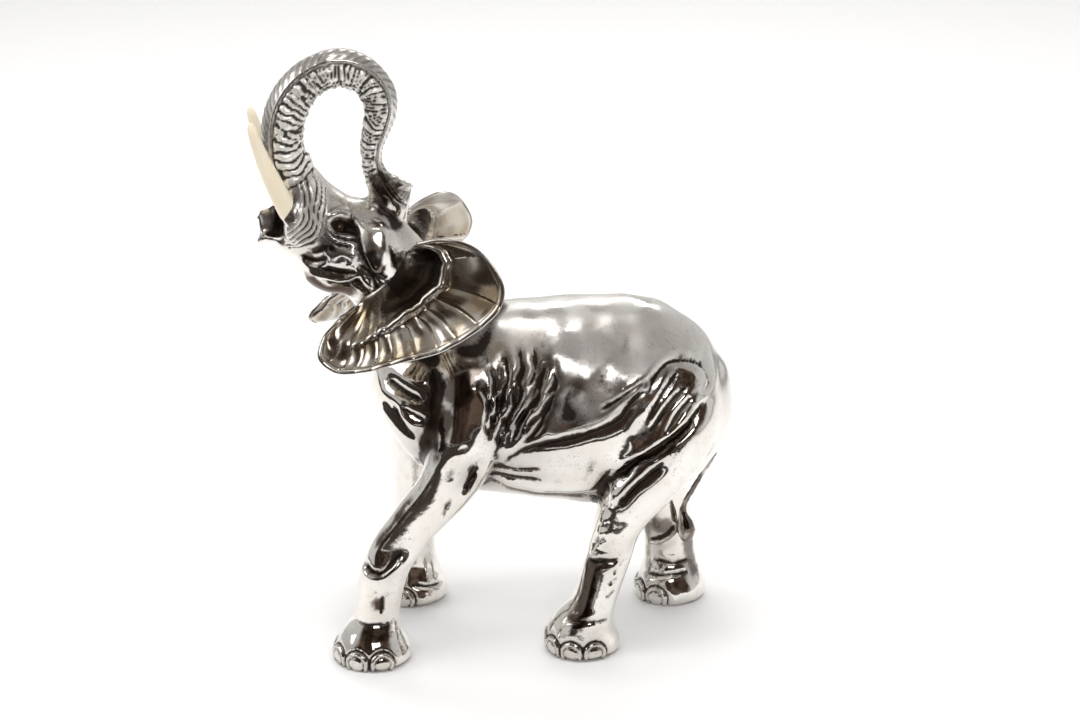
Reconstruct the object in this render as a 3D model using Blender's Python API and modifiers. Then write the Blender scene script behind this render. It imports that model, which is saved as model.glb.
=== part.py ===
"""Walking elephant with a raised, curled trunk: one cast body and two separate ivory-coloured tusks.

The head points along -X, +Z is up, the left side of the animal is at -Y.
The tables of stations are in units of 1/306 of the height.
"""
import math

import bmesh
import bpy
import numpy as np

HEIGHT = 0.306
UNIT = HEIGHT / 306.0
VOXEL = 1.5
FOLD_STRENGTH = 1.4
BODY_TRIANGLES = 6200
EAR_THICKNESS = 2.5
EAR_STEPS_OUT = 9
EAR_STEPS_ROUND = 37
TUSK_CLEARANCE = 0.32
SOLE_BAND = 0.9

SILVER = (0.78, 0.77, 0.75, 1.0)
IVORY = (0.86, 0.77, 0.58, 1.0)

# Trunk, rump and legs as centre x, y, z, then half width and half depth of the oval section.
TORSO = [
    (-51.0, 0, 109.0, 6.0, 9.0), (-49.5, 0, 110.0, 17.0, 22.0), (-45.0, 0, 112.5, 25.0, 31.0),
    (-37.0, 0, 117.0, 32.0, 39.0), (-20.0, 0, 121.5, 37.0, 45.5), (0.0, 0, 123.5, 41.5, 49.5),
    (24.0, 0, 123.3, 45.0, 51.3), (46.0, 0, 122.0, 47.0, 53.5), (66.0, 0, 121.5, 46.5, 54.0),
    (82.0, 0, 121.0, 44.0, 51.5), (95.0, 0, 121.2, 40.0, 45.5), (105.0, 0, 121.8, 34.0, 38.0),
    (112.5, 0, 122.0, 27.0, 28.5), (118.5, 0, 122.5, 18.0, 18.0), (121.6, 0, 122.5, 9.5, 9.0),
    (122.6, 0, 122.5, 3.0, 3.0),
]
NECK = [
    (6.0, 0, 132.0, 33.0, 33.0), (-12.0, 0, 149.0, 29.0, 29.0), (-26.5, 0, 165.5, 25.5, 26.0),
    (-40.5, 0, 180.5, 23.5, 24.0), (-53.0, 0, 194.0, 23.5, 23.0), (-62.0, 0, 203.0, 22.5, 21.0),
    (-69.0, 0, 210.0, 18.0, 16.0),
]
TRUNK = [
    (-64.0, 0, 206.0, 20.0, 18.0), (-76.0, 0, 214.5, 19.5, 17.5), (-87.0, 0, 225.5, 17.5, 15.0),
    (-94.8, 0, 238.0, 15.0, 12.6), (-99.5, 0, 250.0, 12.8, 11.3), (-101.3, 0, 262.0, 11.6, 10.8),
    (-99.8, 0, 274.0, 11.0, 10.7), (-93.8, 0, 285.6, 10.6, 10.3), (-84.2, 0, 293.6, 10.2, 10.0),
    (-73.0, 0, 296.3, 9.8, 9.8), (-62.6, 0, 292.8, 9.4, 9.6), (-55.6, 0, 284.8, 9.0, 9.3),
    (-53.8, 0, 275.4, 8.4, 8.6), (-55.8, 0, 266.2, 7.4, 7.2), (-58.3, 0, 257.0, 6.6, 5.8),
    (-58.4, 0, 248.5, 6.4, 5.6), (-56.0, 0, 240.5, 6.8, 6.3), (-52.3, 0, 233.0, 7.4, 7.2),
    (-47.5, 0, 227.5, 7.5, 8.0), (-43.0, 0, 225.3, 7.2, 8.2), (-40.4, 0, 225.0, 6.4, 7.4),
]
TRUNK_FINGER = [
    (-54.0, 0, 238.5, 5.4, 5.0), (-47.5, 0, 237.8, 5.0, 4.0), (-41.5, 0, 236.6, 3.4, 2.6),
    (-36.4, 0, 236.0, 1.0, 0.9),
]
LEFT_FORELEG = [
    (-8.0, -20, 150.0, 14.0, 22.0), (-13.0, -26, 132.0, 17.0, 20.0), (-15.5, -31, 118.0, 16.0, 18.5),
    (-19.0, -33.5, 104.0, 15.0, 16.5), (-26.0, -35, 91.0, 13.5, 14.5), (-36.0, -36, 79.0, 12.5, 13.0),
    (-46.5, -36.5, 66.0, 12.2, 12.0), (-54.5, -37, 53.5, 12.2, 12.2), (-58.5, -37, 42.0, 12.0, 12.0),
    (-60.5, -36.5, 31.0, 11.5, 11.6), (-61.3, -36.5, 22.0, 12.0, 12.2), (-62.3, -36, 13.5, 16.5, 17.0),
    (-62.8, -36, 7.0, 19.6, 20.0), (-62.8, -36, 2.5, 20.4, 20.8), (-62.8, -36, 0.0, 19.6, 20.0),
]
RIGHT_FORELEG = [
    (-14.0, 20, 150.0, 14.0, 20.0), (-22.0, 27, 128.0, 17.0, 22.0), (-29.0, 31.5, 108.0, 16.5, 20.0),
    (-33.0, 34.5, 90.0, 15.0, 17.5), (-35.5, 36.5, 72.0, 13.0, 14.5), (-37.0, 38, 54.0, 12.0, 12.2),
    (-37.8, 39, 40.0, 11.5, 11.6), (-38.3, 39.5, 28.0, 11.5, 11.6), (-39.0, 40, 18.0, 13.5, 13.8),
    (-39.7, 40, 10.5, 17.0, 17.3), (-39.7, 40, 5.5, 19.0, 19.2), (-39.7, 40, 2.0, 19.4, 19.6),
    (-39.7, 40, 0.0, 18.6, 18.8),
]
LEFT_HINDLEG = [
    (88.0, -20, 146.0, 14.0, 20.0), (88.0, -26, 126.0, 18.0, 29.0), (85.0, -30.5, 106.0, 18.0, 29.0),
    (78.5, -34, 90.0, 16.5, 24.5), (70.0, -35.5, 77.5, 15.0, 19.5), (61.5, -36, 66.0, 13.0, 14.5),
    (56.5, -36, 55.0, 12.0, 12.0), (53.5, -36, 44.0, 11.6, 11.3), (50.0, -35.5, 32.0, 11.6, 11.3),
    (46.5, -35, 21.5, 12.6, 12.4), (43.6, -34.5, 13.0, 16.4, 16.8), (42.9, -34, 7.0, 18.8, 19.2),
    (42.9, -34, 2.5, 19.3, 19.7), (42.9, -34, 0.0, 18.5, 18.9),
]
RIGHT_HINDLEG = [
    (90.0, 20, 146.0, 14.0, 20.0), (94.0, 26, 122.0, 17.0, 26.0), (95.0, 30, 99.0, 17.0, 24.0),
    (93.5, 32, 80.0, 16.0, 20.0), (91.5, 32.5, 64.0, 14.0, 16.5), (92.2, 32.5, 50.0, 13.0, 14.8),
    (93.8, 32, 37.0, 12.6, 13.4), (94.8, 31.5, 26.0, 12.8, 13.5), (95.3, 31, 17.0, 14.6, 15.2),
    (95.5, 30.5, 10.5, 17.4, 17.8), (95.5, 30, 5.5, 19.0, 19.3), (95.5, 30, 2.0, 19.4, 19.7),
    (95.5, 30, 0.0, 18.6, 18.9),
]
TAIL = [
    (118.0, 1, 126.0, 3.4, 3.4), (119.9, 1.5, 118.0, 2.6, 2.6), (118.6, 2, 110.0, 2.3, 2.3),
    (115.5, 3, 98.0, 2.1, 2.1), (110.0, 6, 85.0, 2.0, 2.0), (103.8, 10, 71.5, 2.0, 2.0),
    (99.6, 13, 62.0, 2.2, 2.2), (98.6, 15.5, 56.0, 3.8, 3.6), (99.2, 17, 50.0, 5.2, 5.2),
    (99.8, 18, 45.0, 4.8, 4.8), (100.2, 18, 40.5, 2.2, 2.2),
]
LIP = [
    (-84.0, 0, 212.0, 15.0, 12.0), (-91.0, 0, 213.0, 13.6, 11.6), (-97.5, 0, 215.0, 11.2, 12.0),
    (-103.0, 0, 216.9, 8.7, 12.1), (-107.2, 0, 217.0, 6.6, 11.4), (-110.4, 0, 213.8, 4.8, 7.0),
    (-113.2, 0, 210.9, 2.8, 2.9), (-115.8, 0, 209.6, 0.9, 0.9),
]
MOUTH = [
    (-96.5, 0, 225.0, 2.2, 11.0), (-99.8, 0, 224.0, 5.4, 12.4), (-104.0, 0, 223.8, 5.4, 13.2),
    (-108.0, 0, 223.8, 3.6, 13.4), (-111.5, 0, 224.0, 2.1, 12.6), (-116.5, 0, 225.0, 1.2, 10.8),
]
# Rounded masses of the head as centre x, y, z and the three half sizes.
HEAD_MASSES = [
    (-66.0, 0, 207.0, 23.0, 21.5, 23.0), (-53.0, 0, 200.0, 20.0, 20.0, 20.5),
    (-79.0, 0, 197.5, 15.5, 16.5, 15.0), (-90.0, 0, 221.0, 12.5, 17.5, 17.0),
    (-56.5, -17, 206.0, 10.5, 9.0, 16.0), (-56.5, 17, 206.0, 10.5, 9.0, 16.0),
]
# Ear rim and ear root from the top round to the bottom lobe, left ear.
EAR_RIM = [
    (-37.6, -25.5, 214.6), (-27.1, -31, 217.8), (-17.6, -35.5, 218.3),
    (-8.4, -40.5, 214.9), (-0.7, -45.5, 206.6), (2.7, -49.5, 198.0), (0.7, -52.5, 189.3),
    (-8.9, -54.5, 180.1), (-29.6, -53.5, 167.7), (-50.6, -50.5, 161.3), (-66.0, -46.5, 156.3),
    (-80.0, -42, 155.3), (-87.0, -38.5, 161.0), (-85.0, -35, 170.0), (-76.6, -31, 178.6),
]
EAR_ROOT = [
    (-43.8, -20, 208.0), (-45.5, -21, 203.0), (-49.0, -22, 198.0), (-54.0, -22.5, 193.0),
    (-59.0, -22.5, 189.0), (-63.5, -22, 186.0),
]
# Place of the bright ridge across the ear, as a share from root to rim, from the top round.
EAR_RIDGE = [0.72, 0.62, 0.42, 0.36, 0.34, 0.36, 0.42, 0.48, 0.50, 0.52]
EAR_FLUTES = 12
# The right ear stands out further than the left by this many degrees about its root.
RIGHT_EAR_SPREAD = 14.0
EAR_PIVOT = (-50.0, 22.0)
TUSK = [
    (-92.5, -10.5, 219.0, 3.9), (-96.2, -12.0, 223.2, 4.4), (-99.6, -13.0, 227.8, 4.7), (-102.6, -13.3, 234.5, 4.8), (-106.0, -13.8, 242.0, 4.5),
    (-109.4, -14.3, 250.0, 4.0), (-112.6, -14.7, 258.5, 3.3), (-115.0, -15.0, 266.0, 2.4),
    (-116.6, -15.0, 272.2, 1.4), (-117.1, -15.0, 274.2, 0.5),
]


# Folds of the skin as width, depth and the line they follow in side view (x, z). The flank folds
# are on both sides; the others are on the left side, or on the inner face of the right legs.
FLANK_FOLDS = [
    (2.6, 1.8, [(-3, 91), (12, 87), (31, 85), (46, 87), (53, 94)]),
    (2.0, 1.2, [(-5, 98), (10, 95), (23, 93)]),
    (1.8, 1.0, [(-4, 103), (8, 100), (22, 100)]),
    (2.2, 1.3, [(-2, 109), (3, 122), (7, 135), (11, 147), (17, 157)]),
    (2.4, 1.5, [(3, 111), (11, 125), (16, 137), (21, 149), (28, 156)]),
    (2.4, 1.4, [(8, 112), (18, 122), (24, 133), (28, 142), (32, 150)]),
    (2.0, 1.1, [(0, 116), (2, 130), (3, 140), (6, 149)]),
    (3.2, 1.5, [(1, 104), (15, 114), (30, 118), (45, 122), (57, 128), (65, 137), (74, 146)]),
    (4.2, 2.8, [(53, 93), (69, 107), (84, 117), (95, 125), (103, 133)]),
    (1.8, 1.1, [(72, 124), (79, 136), (90, 149)]),
    (1.8, 1.1, [(75, 121), (85, 134), (95, 142)]),
    (1.8, 1.1, [(81, 117), (90, 130), (98, 137)]),
    (2.4, 1.5, [(73, 137), (77, 146), (84, 152), (96, 151), (104, 146), (106, 140), (100, 137)]),
    (3.0, 1.7, [(56, 81), (69, 95), (82, 106)]),
    (2.6, 1.3, [(3, 159), (1, 144), (-1, 131), (-6, 118)]),
]
LEFT_FOLDS = [
    (3.0, 1.6, [(51, 80), (52, 92), (56, 102)]),
    (3.4, 2.8, [(-32, 151), (-33, 138), (-35, 123), (-39, 104), (-41, 96), (-48, 84)]),
    (3.4, 2.0, [(-18, 90), (-14, 99), (-9, 109)]),
    (1.4, 0.7, [(-28, 77), (-26, 84), (-23, 88)]),
    (2.2, 1.7, [(-68, 53), (-64, 50), (-59, 50), (-55, 53), (-49, 59)]),
    (1.8, 1.2, [(-73, 24), (-66, 23), (-57, 23), (-50, 24)]),
    (3.8, 2.4, [(-55, 143), (-47, 139), (-36, 134)]),
    (3.0, 2.0, [(-52, 131), (-47, 121), (-40, 113)]),
    (2.4, 1.7, [(-47, 131), (-42, 128), (-36, 124)]),
    (2.2, 1.3, [(-53, 110), (-45, 100)]),
    (2.2, 1.6, [(45, 52), (52, 53), (60, 53)]),
    (1.5, 0.8, [(46, 60), (53, 65)]),
    (1.4, 0.7, [(50, 69), (56, 73)]),
    (1.8, 1.1, [(31, 20), (38, 21), (47, 21), (57, 21)]),
    (1.4, 0.8, [(56, 44), (63, 52)]),
    (1.4, 0.8, [(54, 39), (60, 44)]),
    (1.4, 0.8, [(53, 32), (58, 37)]),
]
RIGHT_FOLDS = [
    (2.2, 1.5, [(82, 32), (86, 33), (92, 36), (98, 43)]),
    (2.0, 1.2, [(84, 24), (93, 22), (105, 23)]),
    (2.0, 1.2, [(81, 15), (91, 16), (104, 17)]),
    (1.8, 1.1, [(-40, 12), (-34, 11), (-25, 10)]),
]
HEAD_FOLDS = [
    (2.0, 1.4, [(-80, 226), (-74, 227.5), (-69, 226)]),
    (3.2, 2.0, [(-78, 221.5), (-73.5, 222), (-70, 221)]),
    (1.6, 0.9, [(-79, 217.5), (-73, 216), (-67, 214)]),
    (2.2, 1.7, [(-69, 227), (-67, 220), (-64, 209), (-58, 199), (-53, 196)]),
    (2.4, 1.7, [(-95, 205), (-89, 203), (-80, 206)]),
    (2.4, 1.4, [(-84, 194), (-74, 192.5), (-65, 197)]),
]
# Foot centre x, y, the radius at the nails and the way the toes point in degrees from -X.
FEET = [
    (-62.8, -36.0, 20.0, 14.0), (-39.7, 40.0, 19.0, -8.0), (42.9, -34.0, 19.0, 14.0), (95.5, 30.0, 19.0, -12.0),
]
NAIL_TURNS = (-62.0, -28.0, 6.0, 40.0, 72.0)
NAIL_SIZE = (5.4, 4.6, 1.1)


def spline(rows, count):
    """Smooth curve through the rows, sampled evenly by length."""
    rows = np.array(rows, float)
    width = min(3, rows.shape[1])
    knots = np.concatenate(([0.0], np.cumsum(np.linalg.norm(np.diff(rows[:, :width], axis=0), axis=1))))
    slopes = np.gradient(rows, knots, axis=0)
    at = np.linspace(0.0, knots[-1], count)
    i = np.clip(np.searchsorted(knots, at, side="right") - 1, 0, len(knots) - 2)
    span = (knots[i + 1] - knots[i])[:, None]
    t = (at - knots[i])[:, None] / span
    start = (1 + 2 * t) * (1 - t) ** 2 * rows[i] + t * (1 - t) ** 2 * span * slopes[i]
    end = t * t * (3 - 2 * t) * rows[i + 1] + t * t * (t - 1) * span * slopes[i + 1]
    return start + end


def frames(centre):
    """Direction of the path, the side across it and the direction left over."""
    along = np.gradient(centre, axis=0)
    along /= np.linalg.norm(along, axis=1)[:, None]
    across = np.array([0.0, 1.0, 0.0]) - along[:, 1:2] * along
    across /= np.linalg.norm(across, axis=1)[:, None]
    return along, across, np.cross(along, across)


def mesh_object(name, points, faces):
    mesh = bpy.data.meshes.new(name)
    mesh.from_pydata((np.asarray(points) * UNIT).tolist(), [], faces)
    mesh.update()
    body = bpy.data.objects.new(name, mesh)
    bpy.context.collection.objects.link(body)
    return body


def face_out(body):
    """Turn every face outward."""
    bm = bmesh.new()
    bm.from_mesh(body.data)
    bmesh.ops.recalc_face_normals(bm, faces=bm.faces)
    bm.to_mesh(body.data)
    bm.free()


def tube(name, rows, along=56, around=36):
    """Closed tube of oval sections along a path."""
    path = spline(rows, along)
    centre = path[:, :3]
    width, depth = path[:, 3], path[:, -1]
    _, across, out = frames(centre)
    turn = np.arange(around) * 2 * math.pi / around
    ring = centre[:, None, :] + across[:, None, :] * (width[:, None] * np.cos(turn))[:, :, None]
    ring = ring + out[:, None, :] * (depth[:, None] * np.sin(turn))[:, :, None]
    faces = []
    for i in range(along - 1):
        for j in range(around):
            k = (j + 1) % around
            faces.append((i * around + j, i * around + k, (i + 1) * around + k, (i + 1) * around + j))
    faces.append(tuple(range(around - 1, -1, -1)))
    faces.append(tuple((along - 1) * around + j for j in range(around)))
    body = mesh_object(name, ring.reshape(-1, 3), faces)
    face_out(body)
    return body


def mass(name, row):
    """Rounded ellipsoid."""
    bpy.ops.mesh.primitive_uv_sphere_add(segments=40, ring_count=24)
    body = bpy.context.active_object
    body.name = name
    for vertex in body.data.vertices:
        vertex.co = [UNIT * (row[axis] + row[axis + 3] * vertex.co[axis]) for axis in range(3)]
    return body


def apply_modifier(body, kind, **settings):
    bpy.ops.object.select_all(action="DESELECT")
    bpy.context.view_layer.objects.active = body
    body.select_set(True)
    modifier = body.modifiers.new(kind.title(), kind)
    for key, value in settings.items():
        setattr(modifier, key, value)
    bpy.ops.object.modifier_apply(modifier=modifier.name)


def combine(body, other, operation):
    """Boolean of two closed bodies; the second one is used up."""
    apply_modifier(body, "BOOLEAN", object=other, operation=operation, solver="EXACT")
    bpy.data.objects.remove(other)


def join(bodies, name):
    bpy.ops.object.select_all(action="DESELECT")
    for body in bodies:
        body.select_set(True)
    bpy.context.view_layer.objects.active = bodies[0]
    bpy.ops.object.join()
    bodies[0].name = name
    return bodies[0]


def points_of(body):
    points = np.empty(len(body.data.vertices) * 3)
    body.data.vertices.foreach_get("co", points)
    return points.reshape(-1, 3) / UNIT


def normals_of(body):
    normals = np.empty(len(body.data.vertices) * 3)
    body.data.vertices.foreach_get("normal", normals)
    return normals.reshape(-1, 3)


def set_points(body, points):
    body.data.vertices.foreach_set("co", (points * UNIT).ravel())
    body.data.update()


def relax(body, rounds, strength):
    """Even out the surface; strength is one value for each point."""
    points = points_of(body)
    edges = np.empty(len(body.data.edges) * 2, int)
    body.data.edges.foreach_get("vertices", edges)
    first, second = edges.reshape(-1, 2).T
    count = np.bincount(np.concatenate((first, second)), minlength=len(points))[:, None]
    for turn in range(rounds):
        total = np.zeros_like(points)
        for axis in range(3):
            total[:, axis] = np.bincount(first, points[second, axis], len(points))
            total[:, axis] += np.bincount(second, points[first, axis], len(points))
        points = points + strength[:, None] * (total / count - points)
    set_points(body, points)


def ear_sheet(side):
    """One ear: a dish with a raised ridge and radial flutes, thickened and closed."""
    rim = spline(EAR_RIM, EAR_STEPS_ROUND)
    root = spline(EAR_ROOT, EAR_STEPS_ROUND)
    round_share = np.linspace(0.0, 1.0, EAR_STEPS_ROUND)
    out_share = np.linspace(0.0, 1.0, EAR_STEPS_OUT)
    u, v = np.meshgrid(out_share, round_share)
    ridge = np.interp(v, np.linspace(0, 1, len(EAR_RIDGE)), EAR_RIDGE)
    sheet = root[:, None, :] + (rim - root)[:, None, :] * u[:, :, None]
    face = np.cross(np.gradient(sheet, axis=1), np.gradient(sheet, axis=0)).sum(axis=1)
    face *= np.sign(-face[:, 1].sum())
    for turn in range(20):
        face[1:-1] = (face[:-2] + 2 * face[1:-1] + face[2:]) / 4
    face[0], face[-1] = face[1], face[-2]
    face /= np.linalg.norm(face, axis=1)[:, None]
    spread = np.clip(u / 0.4, 0.0, 1.0)[:, :, None]
    normal = face.mean(axis=0) * (1 - spread) + face[:, None, :] * spread
    normal /= np.linalg.norm(normal, axis=2)[:, :, None]
    reach = np.sin(math.pi / 2 * np.clip(np.minimum(v, 1.0 - v) / 0.2, 0.0, 1.0)) ** 2
    inner = np.clip(u / ridge, 0.0, 1.0)
    outer = np.clip((u - ridge) / (1.0 - ridge), 0.0, 1.0)
    hollow = -5.0 * np.sin(math.pi * inner) ** 2 * reach
    crest = 2.6 * np.exp(-((u - ridge) / 0.07) ** 2) * reach
    dish = -3.6 * np.sin(math.pi * outer) * reach
    flute = 1.1 * np.cos(2 * math.pi * EAR_FLUTES * v) * np.clip(outer * 2.2, 0, 1) * reach
    sheet = sheet + normal * (hollow + crest + dish + flute)[:, :, None]
    sheet[:, 0, 1] += 7.0
    thickness = EAR_THICKNESS * (1.25 - 0.35 * u)[:, :, None]
    front = sheet + normal * thickness / 2
    rear = sheet - normal * thickness / 2
    rows, columns = EAR_STEPS_ROUND, EAR_STEPS_OUT
    points = np.concatenate((front.reshape(-1, 3), rear.reshape(-1, 3)))
    back = rows * columns
    faces = []
    for i in range(rows - 1):
        for j in range(columns - 1):
            a, b = i * columns + j, i * columns + j + 1
            c, d = (i + 1) * columns + j + 1, (i + 1) * columns + j
            faces.append((a, b, c, d))
            faces.append((back + d, back + c, back + b, back + a))
    edge = [i * columns for i in range(rows)]
    edge += [(rows - 1) * columns + j for j in range(1, columns)]
    edge += [i * columns + columns - 1 for i in range(rows - 2, -1, -1)]
    edge += [j for j in range(columns - 2, 0, -1)]
    for a, b in zip(edge, edge[1:] + edge[:1]):
        faces.append((a, b, back + b, back + a))
    points[:, 1] *= -side
    if side > 0:
        turn = math.radians(RIGHT_EAR_SPREAD)
        east, north = points[:, 0] - EAR_PIVOT[0], points[:, 1] - EAR_PIVOT[1]
        points[:, 0] = EAR_PIVOT[0] + east * math.cos(turn) - north * math.sin(turn)
        points[:, 1] = EAR_PIVOT[1] + east * math.sin(turn) + north * math.cos(turn)
    body = mesh_object("ear", points, faces)
    face_out(body)
    return body


def tusk(name, side, clearance):
    """Curved, tapering round tusk whose root goes into the muzzle."""
    rows = [(x, -side * y, z, radius + clearance, radius + clearance) for x, y, z, radius in TUSK]
    if clearance:
        rows[0] = tuple(np.array(rows[0]) - np.array([clearance, 0, clearance, 0, 0]) * (-1, 0, 1, 0, 0))
    return tube(name, rows, along=13, around=12)


def finish(body, name, colour, roughness, metallic):
    """Give the piece its material and smooth shading."""
    material = bpy.data.materials.get(name) or bpy.data.materials.new(name)
    material.use_nodes = True
    shader = material.node_tree.nodes["Principled BSDF"]
    shader.inputs["Base Color"].default_value = colour
    shader.inputs["Roughness"].default_value = roughness
    shader.inputs["Metallic"].default_value = metallic
    body.data.materials.clear()
    body.data.materials.append(material)
    body.data.shade_smooth()


def stand_on_origin(pieces):
    """Bring the middle of the whole piece's underside to the origin and gather the parts."""
    corners = np.concatenate([points_of(piece) for piece in pieces])
    low, high = corners.min(axis=0), corners.max(axis=0)
    shift = np.array([(low[0] + high[0]) / 2, (low[1] + high[1]) / 2, low[2]])
    group = bpy.data.collections.new("elephant_sculpture")
    bpy.context.scene.collection.children.link(group)
    for piece in pieces:
        set_points(piece, points_of(piece) - shift)
        for holder in list(piece.users_collection):
            holder.objects.unlink(piece)
        group.objects.link(piece)


def fold_depth(points, normals, row, y_side, facing):
    """How deep one fold lies at every point: a valley with slightly raised shoulders."""
    width, depth, line = row
    line = spline(line, 6 * len(line))
    taper = np.minimum(1.0, 0.35 + 4.0 * np.minimum(np.linspace(0, 1, len(line)), np.linspace(1, 0, len(line))))
    fold = np.zeros(len(points))
    low, high = line.min(axis=0) - 4 * width, line.max(axis=0) + 4 * width
    near = np.flatnonzero((points[:, 0] > low[0]) & (points[:, 0] < high[0]) & (points[:, 2] > low[1])
                          & (points[:, 2] < high[1]) & (points[:, 1] * y_side > 0)
                          & (normals[:, 1] * facing > 0.05))
    if len(near) == 0:
        return fold
    apart = np.hypot(points[near, 0][:, None] - line[:, 0], points[near, 2][:, None] - line[:, 1])
    closest = apart.argmin(axis=1)
    distance = apart[np.arange(len(near)), closest] / width
    shape = np.exp(-distance ** 2) - 0.28 * np.exp(-((distance - 1.9) / 0.7) ** 2)
    fold[near] = FOLD_STRENGTH * depth * taper[closest] * shape * np.clip(normals[near, 1] * facing * 1.8, 0, 1)
    return fold


def nail_height(points):
    """Height of the toe nails over the feet, with a groove round each."""
    height = np.zeros(len(points))
    wide, tall, lift = NAIL_SIZE
    for x, y, radius, toe in FEET:
        east, north = points[:, 0] - x, points[:, 1] - y
        turn = np.degrees(np.arctan2(-north, -east))
        near = (np.hypot(east, north) < radius * 1.4) & (points[:, 2] < 16)
        for nail in NAIL_TURNS:
            away = (turn - nail - toe + 180) % 360 - 180
            oval = np.hypot(np.radians(away) * radius / wide, (points[:, 2] - 4.4) / tall)
            bump = lift * np.clip(1.2 - oval ** 4, 0, 1) - 0.6 * lift * np.exp(-((oval - 1.25) / 0.16) ** 2)
            height += np.where(near & (oval < 1.9), bump, 0.0)
    return height


for old in list(bpy.data.objects):
    bpy.data.objects.remove(old)

pieces = [tube(name, rows) for name, rows in (
    ("torso", TORSO), ("neck", NECK), ("trunk", TRUNK), ("finger", TRUNK_FINGER), ("fore_l", LEFT_FORELEG),
    ("fore_r", RIGHT_FORELEG), ("hind_l", LEFT_HINDLEG), ("hind_r", RIGHT_HINDLEG), ("tail", TAIL))]
lip = tube("lip", LIP)
combine(lip, tube("mouth", MOUTH), "DIFFERENCE")
pieces.append(lip)
pieces += [mass("mass", row) for row in HEAD_MASSES]
elephant = join(pieces, "elephant_body")
apply_modifier(elephant, "REMESH", mode="VOXEL", voxel_size=VOXEL * UNIT)

points = points_of(elephant)
thin = (points[:, 0] < -95) | (points[:, 2] > 232)
relax(elephant, 10, np.where(thin, 0.15, 0.6))
points = points_of(elephant)
normals = normals_of(elephant)
carving = nail_height(points)
for y_side, facing, folds in ((-1, -1, FLANK_FOLDS), (1, 1, FLANK_FOLDS), (-1, -1, LEFT_FOLDS),
                              (1, -1, RIGHT_FOLDS), (-1, -1, HEAD_FOLDS), (1, 1, HEAD_FOLDS)):
    for row in folds:
        carving -= fold_depth(points, normals, row, y_side, facing)
points += normals * carving[:, None]
points[points[:, 2] < SOLE_BAND, 2] = 0.0
set_points(elephant, points)
apply_modifier(elephant, "DECIMATE", ratio=BODY_TRIANGLES / (2 * len(elephant.data.polygons)))
for side in (-1, 1):
    combine(elephant, ear_sheet(side), "UNION")
    combine(elephant, tusk("socket", side, TUSK_CLEARANCE), "DIFFERENCE")
tusks = [tusk(name, side, 0.0) for name, side in (("tusk_left", -1), ("tusk_right", 1))]
finish(elephant, "silver", SILVER, 0.14, 1.0)
for one in tusks:
    finish(one, "ivory", IVORY, 0.38, 0.0)
stand_on_origin([elephant] + tusks)
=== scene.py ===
"""A silvered elephant, walking with its head thrown up and its trunk curled back over its crown."""
import math

import bmesh
import bpy
import numpy as np
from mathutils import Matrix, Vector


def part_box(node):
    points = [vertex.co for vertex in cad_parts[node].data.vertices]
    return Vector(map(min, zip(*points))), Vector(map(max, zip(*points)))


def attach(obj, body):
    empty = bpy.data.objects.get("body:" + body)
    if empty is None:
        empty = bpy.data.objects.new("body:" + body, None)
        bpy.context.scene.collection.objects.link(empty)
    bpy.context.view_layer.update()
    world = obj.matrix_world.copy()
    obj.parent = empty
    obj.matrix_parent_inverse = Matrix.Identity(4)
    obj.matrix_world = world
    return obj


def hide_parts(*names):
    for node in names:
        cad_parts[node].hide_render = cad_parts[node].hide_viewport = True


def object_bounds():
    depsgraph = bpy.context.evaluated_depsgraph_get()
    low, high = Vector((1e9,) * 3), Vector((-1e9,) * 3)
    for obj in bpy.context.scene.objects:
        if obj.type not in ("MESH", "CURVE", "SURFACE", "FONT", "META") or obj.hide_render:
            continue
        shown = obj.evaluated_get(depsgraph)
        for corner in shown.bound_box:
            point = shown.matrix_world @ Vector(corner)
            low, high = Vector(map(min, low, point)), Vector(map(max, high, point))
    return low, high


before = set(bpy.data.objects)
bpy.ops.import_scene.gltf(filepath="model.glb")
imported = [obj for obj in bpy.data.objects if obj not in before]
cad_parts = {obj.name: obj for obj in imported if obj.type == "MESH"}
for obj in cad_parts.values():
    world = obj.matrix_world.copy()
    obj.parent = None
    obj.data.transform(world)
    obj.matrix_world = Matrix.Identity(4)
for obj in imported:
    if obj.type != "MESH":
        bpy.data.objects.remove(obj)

cad_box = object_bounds()

# The two tusks. Ivory-coloured resin, cast by themselves, polished and glued by their roots into
# sockets in the muzzle. Rows are centre x, y, z and radius in millimetres of the tables' own frame.
TUSK = [
    (-92.5, -10.5, 219.0, 3.9), (-96.2, -12.0, 223.2, 4.4), (-99.6, -13.0, 227.8, 4.7),
    (-102.6, -13.3, 234.5, 4.8), (-106.0, -13.8, 242.0, 4.5), (-109.4, -14.3, 250.0, 4.0),
    (-112.6, -14.7, 258.5, 3.3), (-115.0, -15.0, 266.0, 2.7), (-116.6, -15.0, 272.0, 1.9),
    (-117.1, -15.0, 274.2, 0.8),
]
CAST_HEIGHT = 306.3
MM = (cad_box[1][2] - cad_box[0][2]) / CAST_HEIGHT
IVORY_PALE = (0.93, 0.855, 0.685, 1.0)
IVORY_DEEP = (0.82, 0.65, 0.43, 1.0)


def spline(rows, count):
    """Smooth curve through the rows, sampled evenly by length."""
    rows = np.array(rows, float)
    width = min(3, rows.shape[1])
    knots = np.concatenate(([0.0], np.cumsum(np.linalg.norm(np.diff(rows[:, :width], axis=0), axis=1))))
    slopes = np.gradient(rows, knots, axis=0)
    at = np.linspace(0.0, knots[-1], count)
    i = np.clip(np.searchsorted(knots, at, side="right") - 1, 0, len(knots) - 2)
    span = (knots[i + 1] - knots[i])[:, None]
    t = (at - knots[i])[:, None] / span
    start = (1 + 2 * t) * (1 - t) ** 2 * rows[i] + t * (1 - t) ** 2 * span * slopes[i]
    end = t * t * (3 - 2 * t) * rows[i + 1] + t * t * (t - 1) * span * slopes[i + 1]
    return start + end


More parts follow.
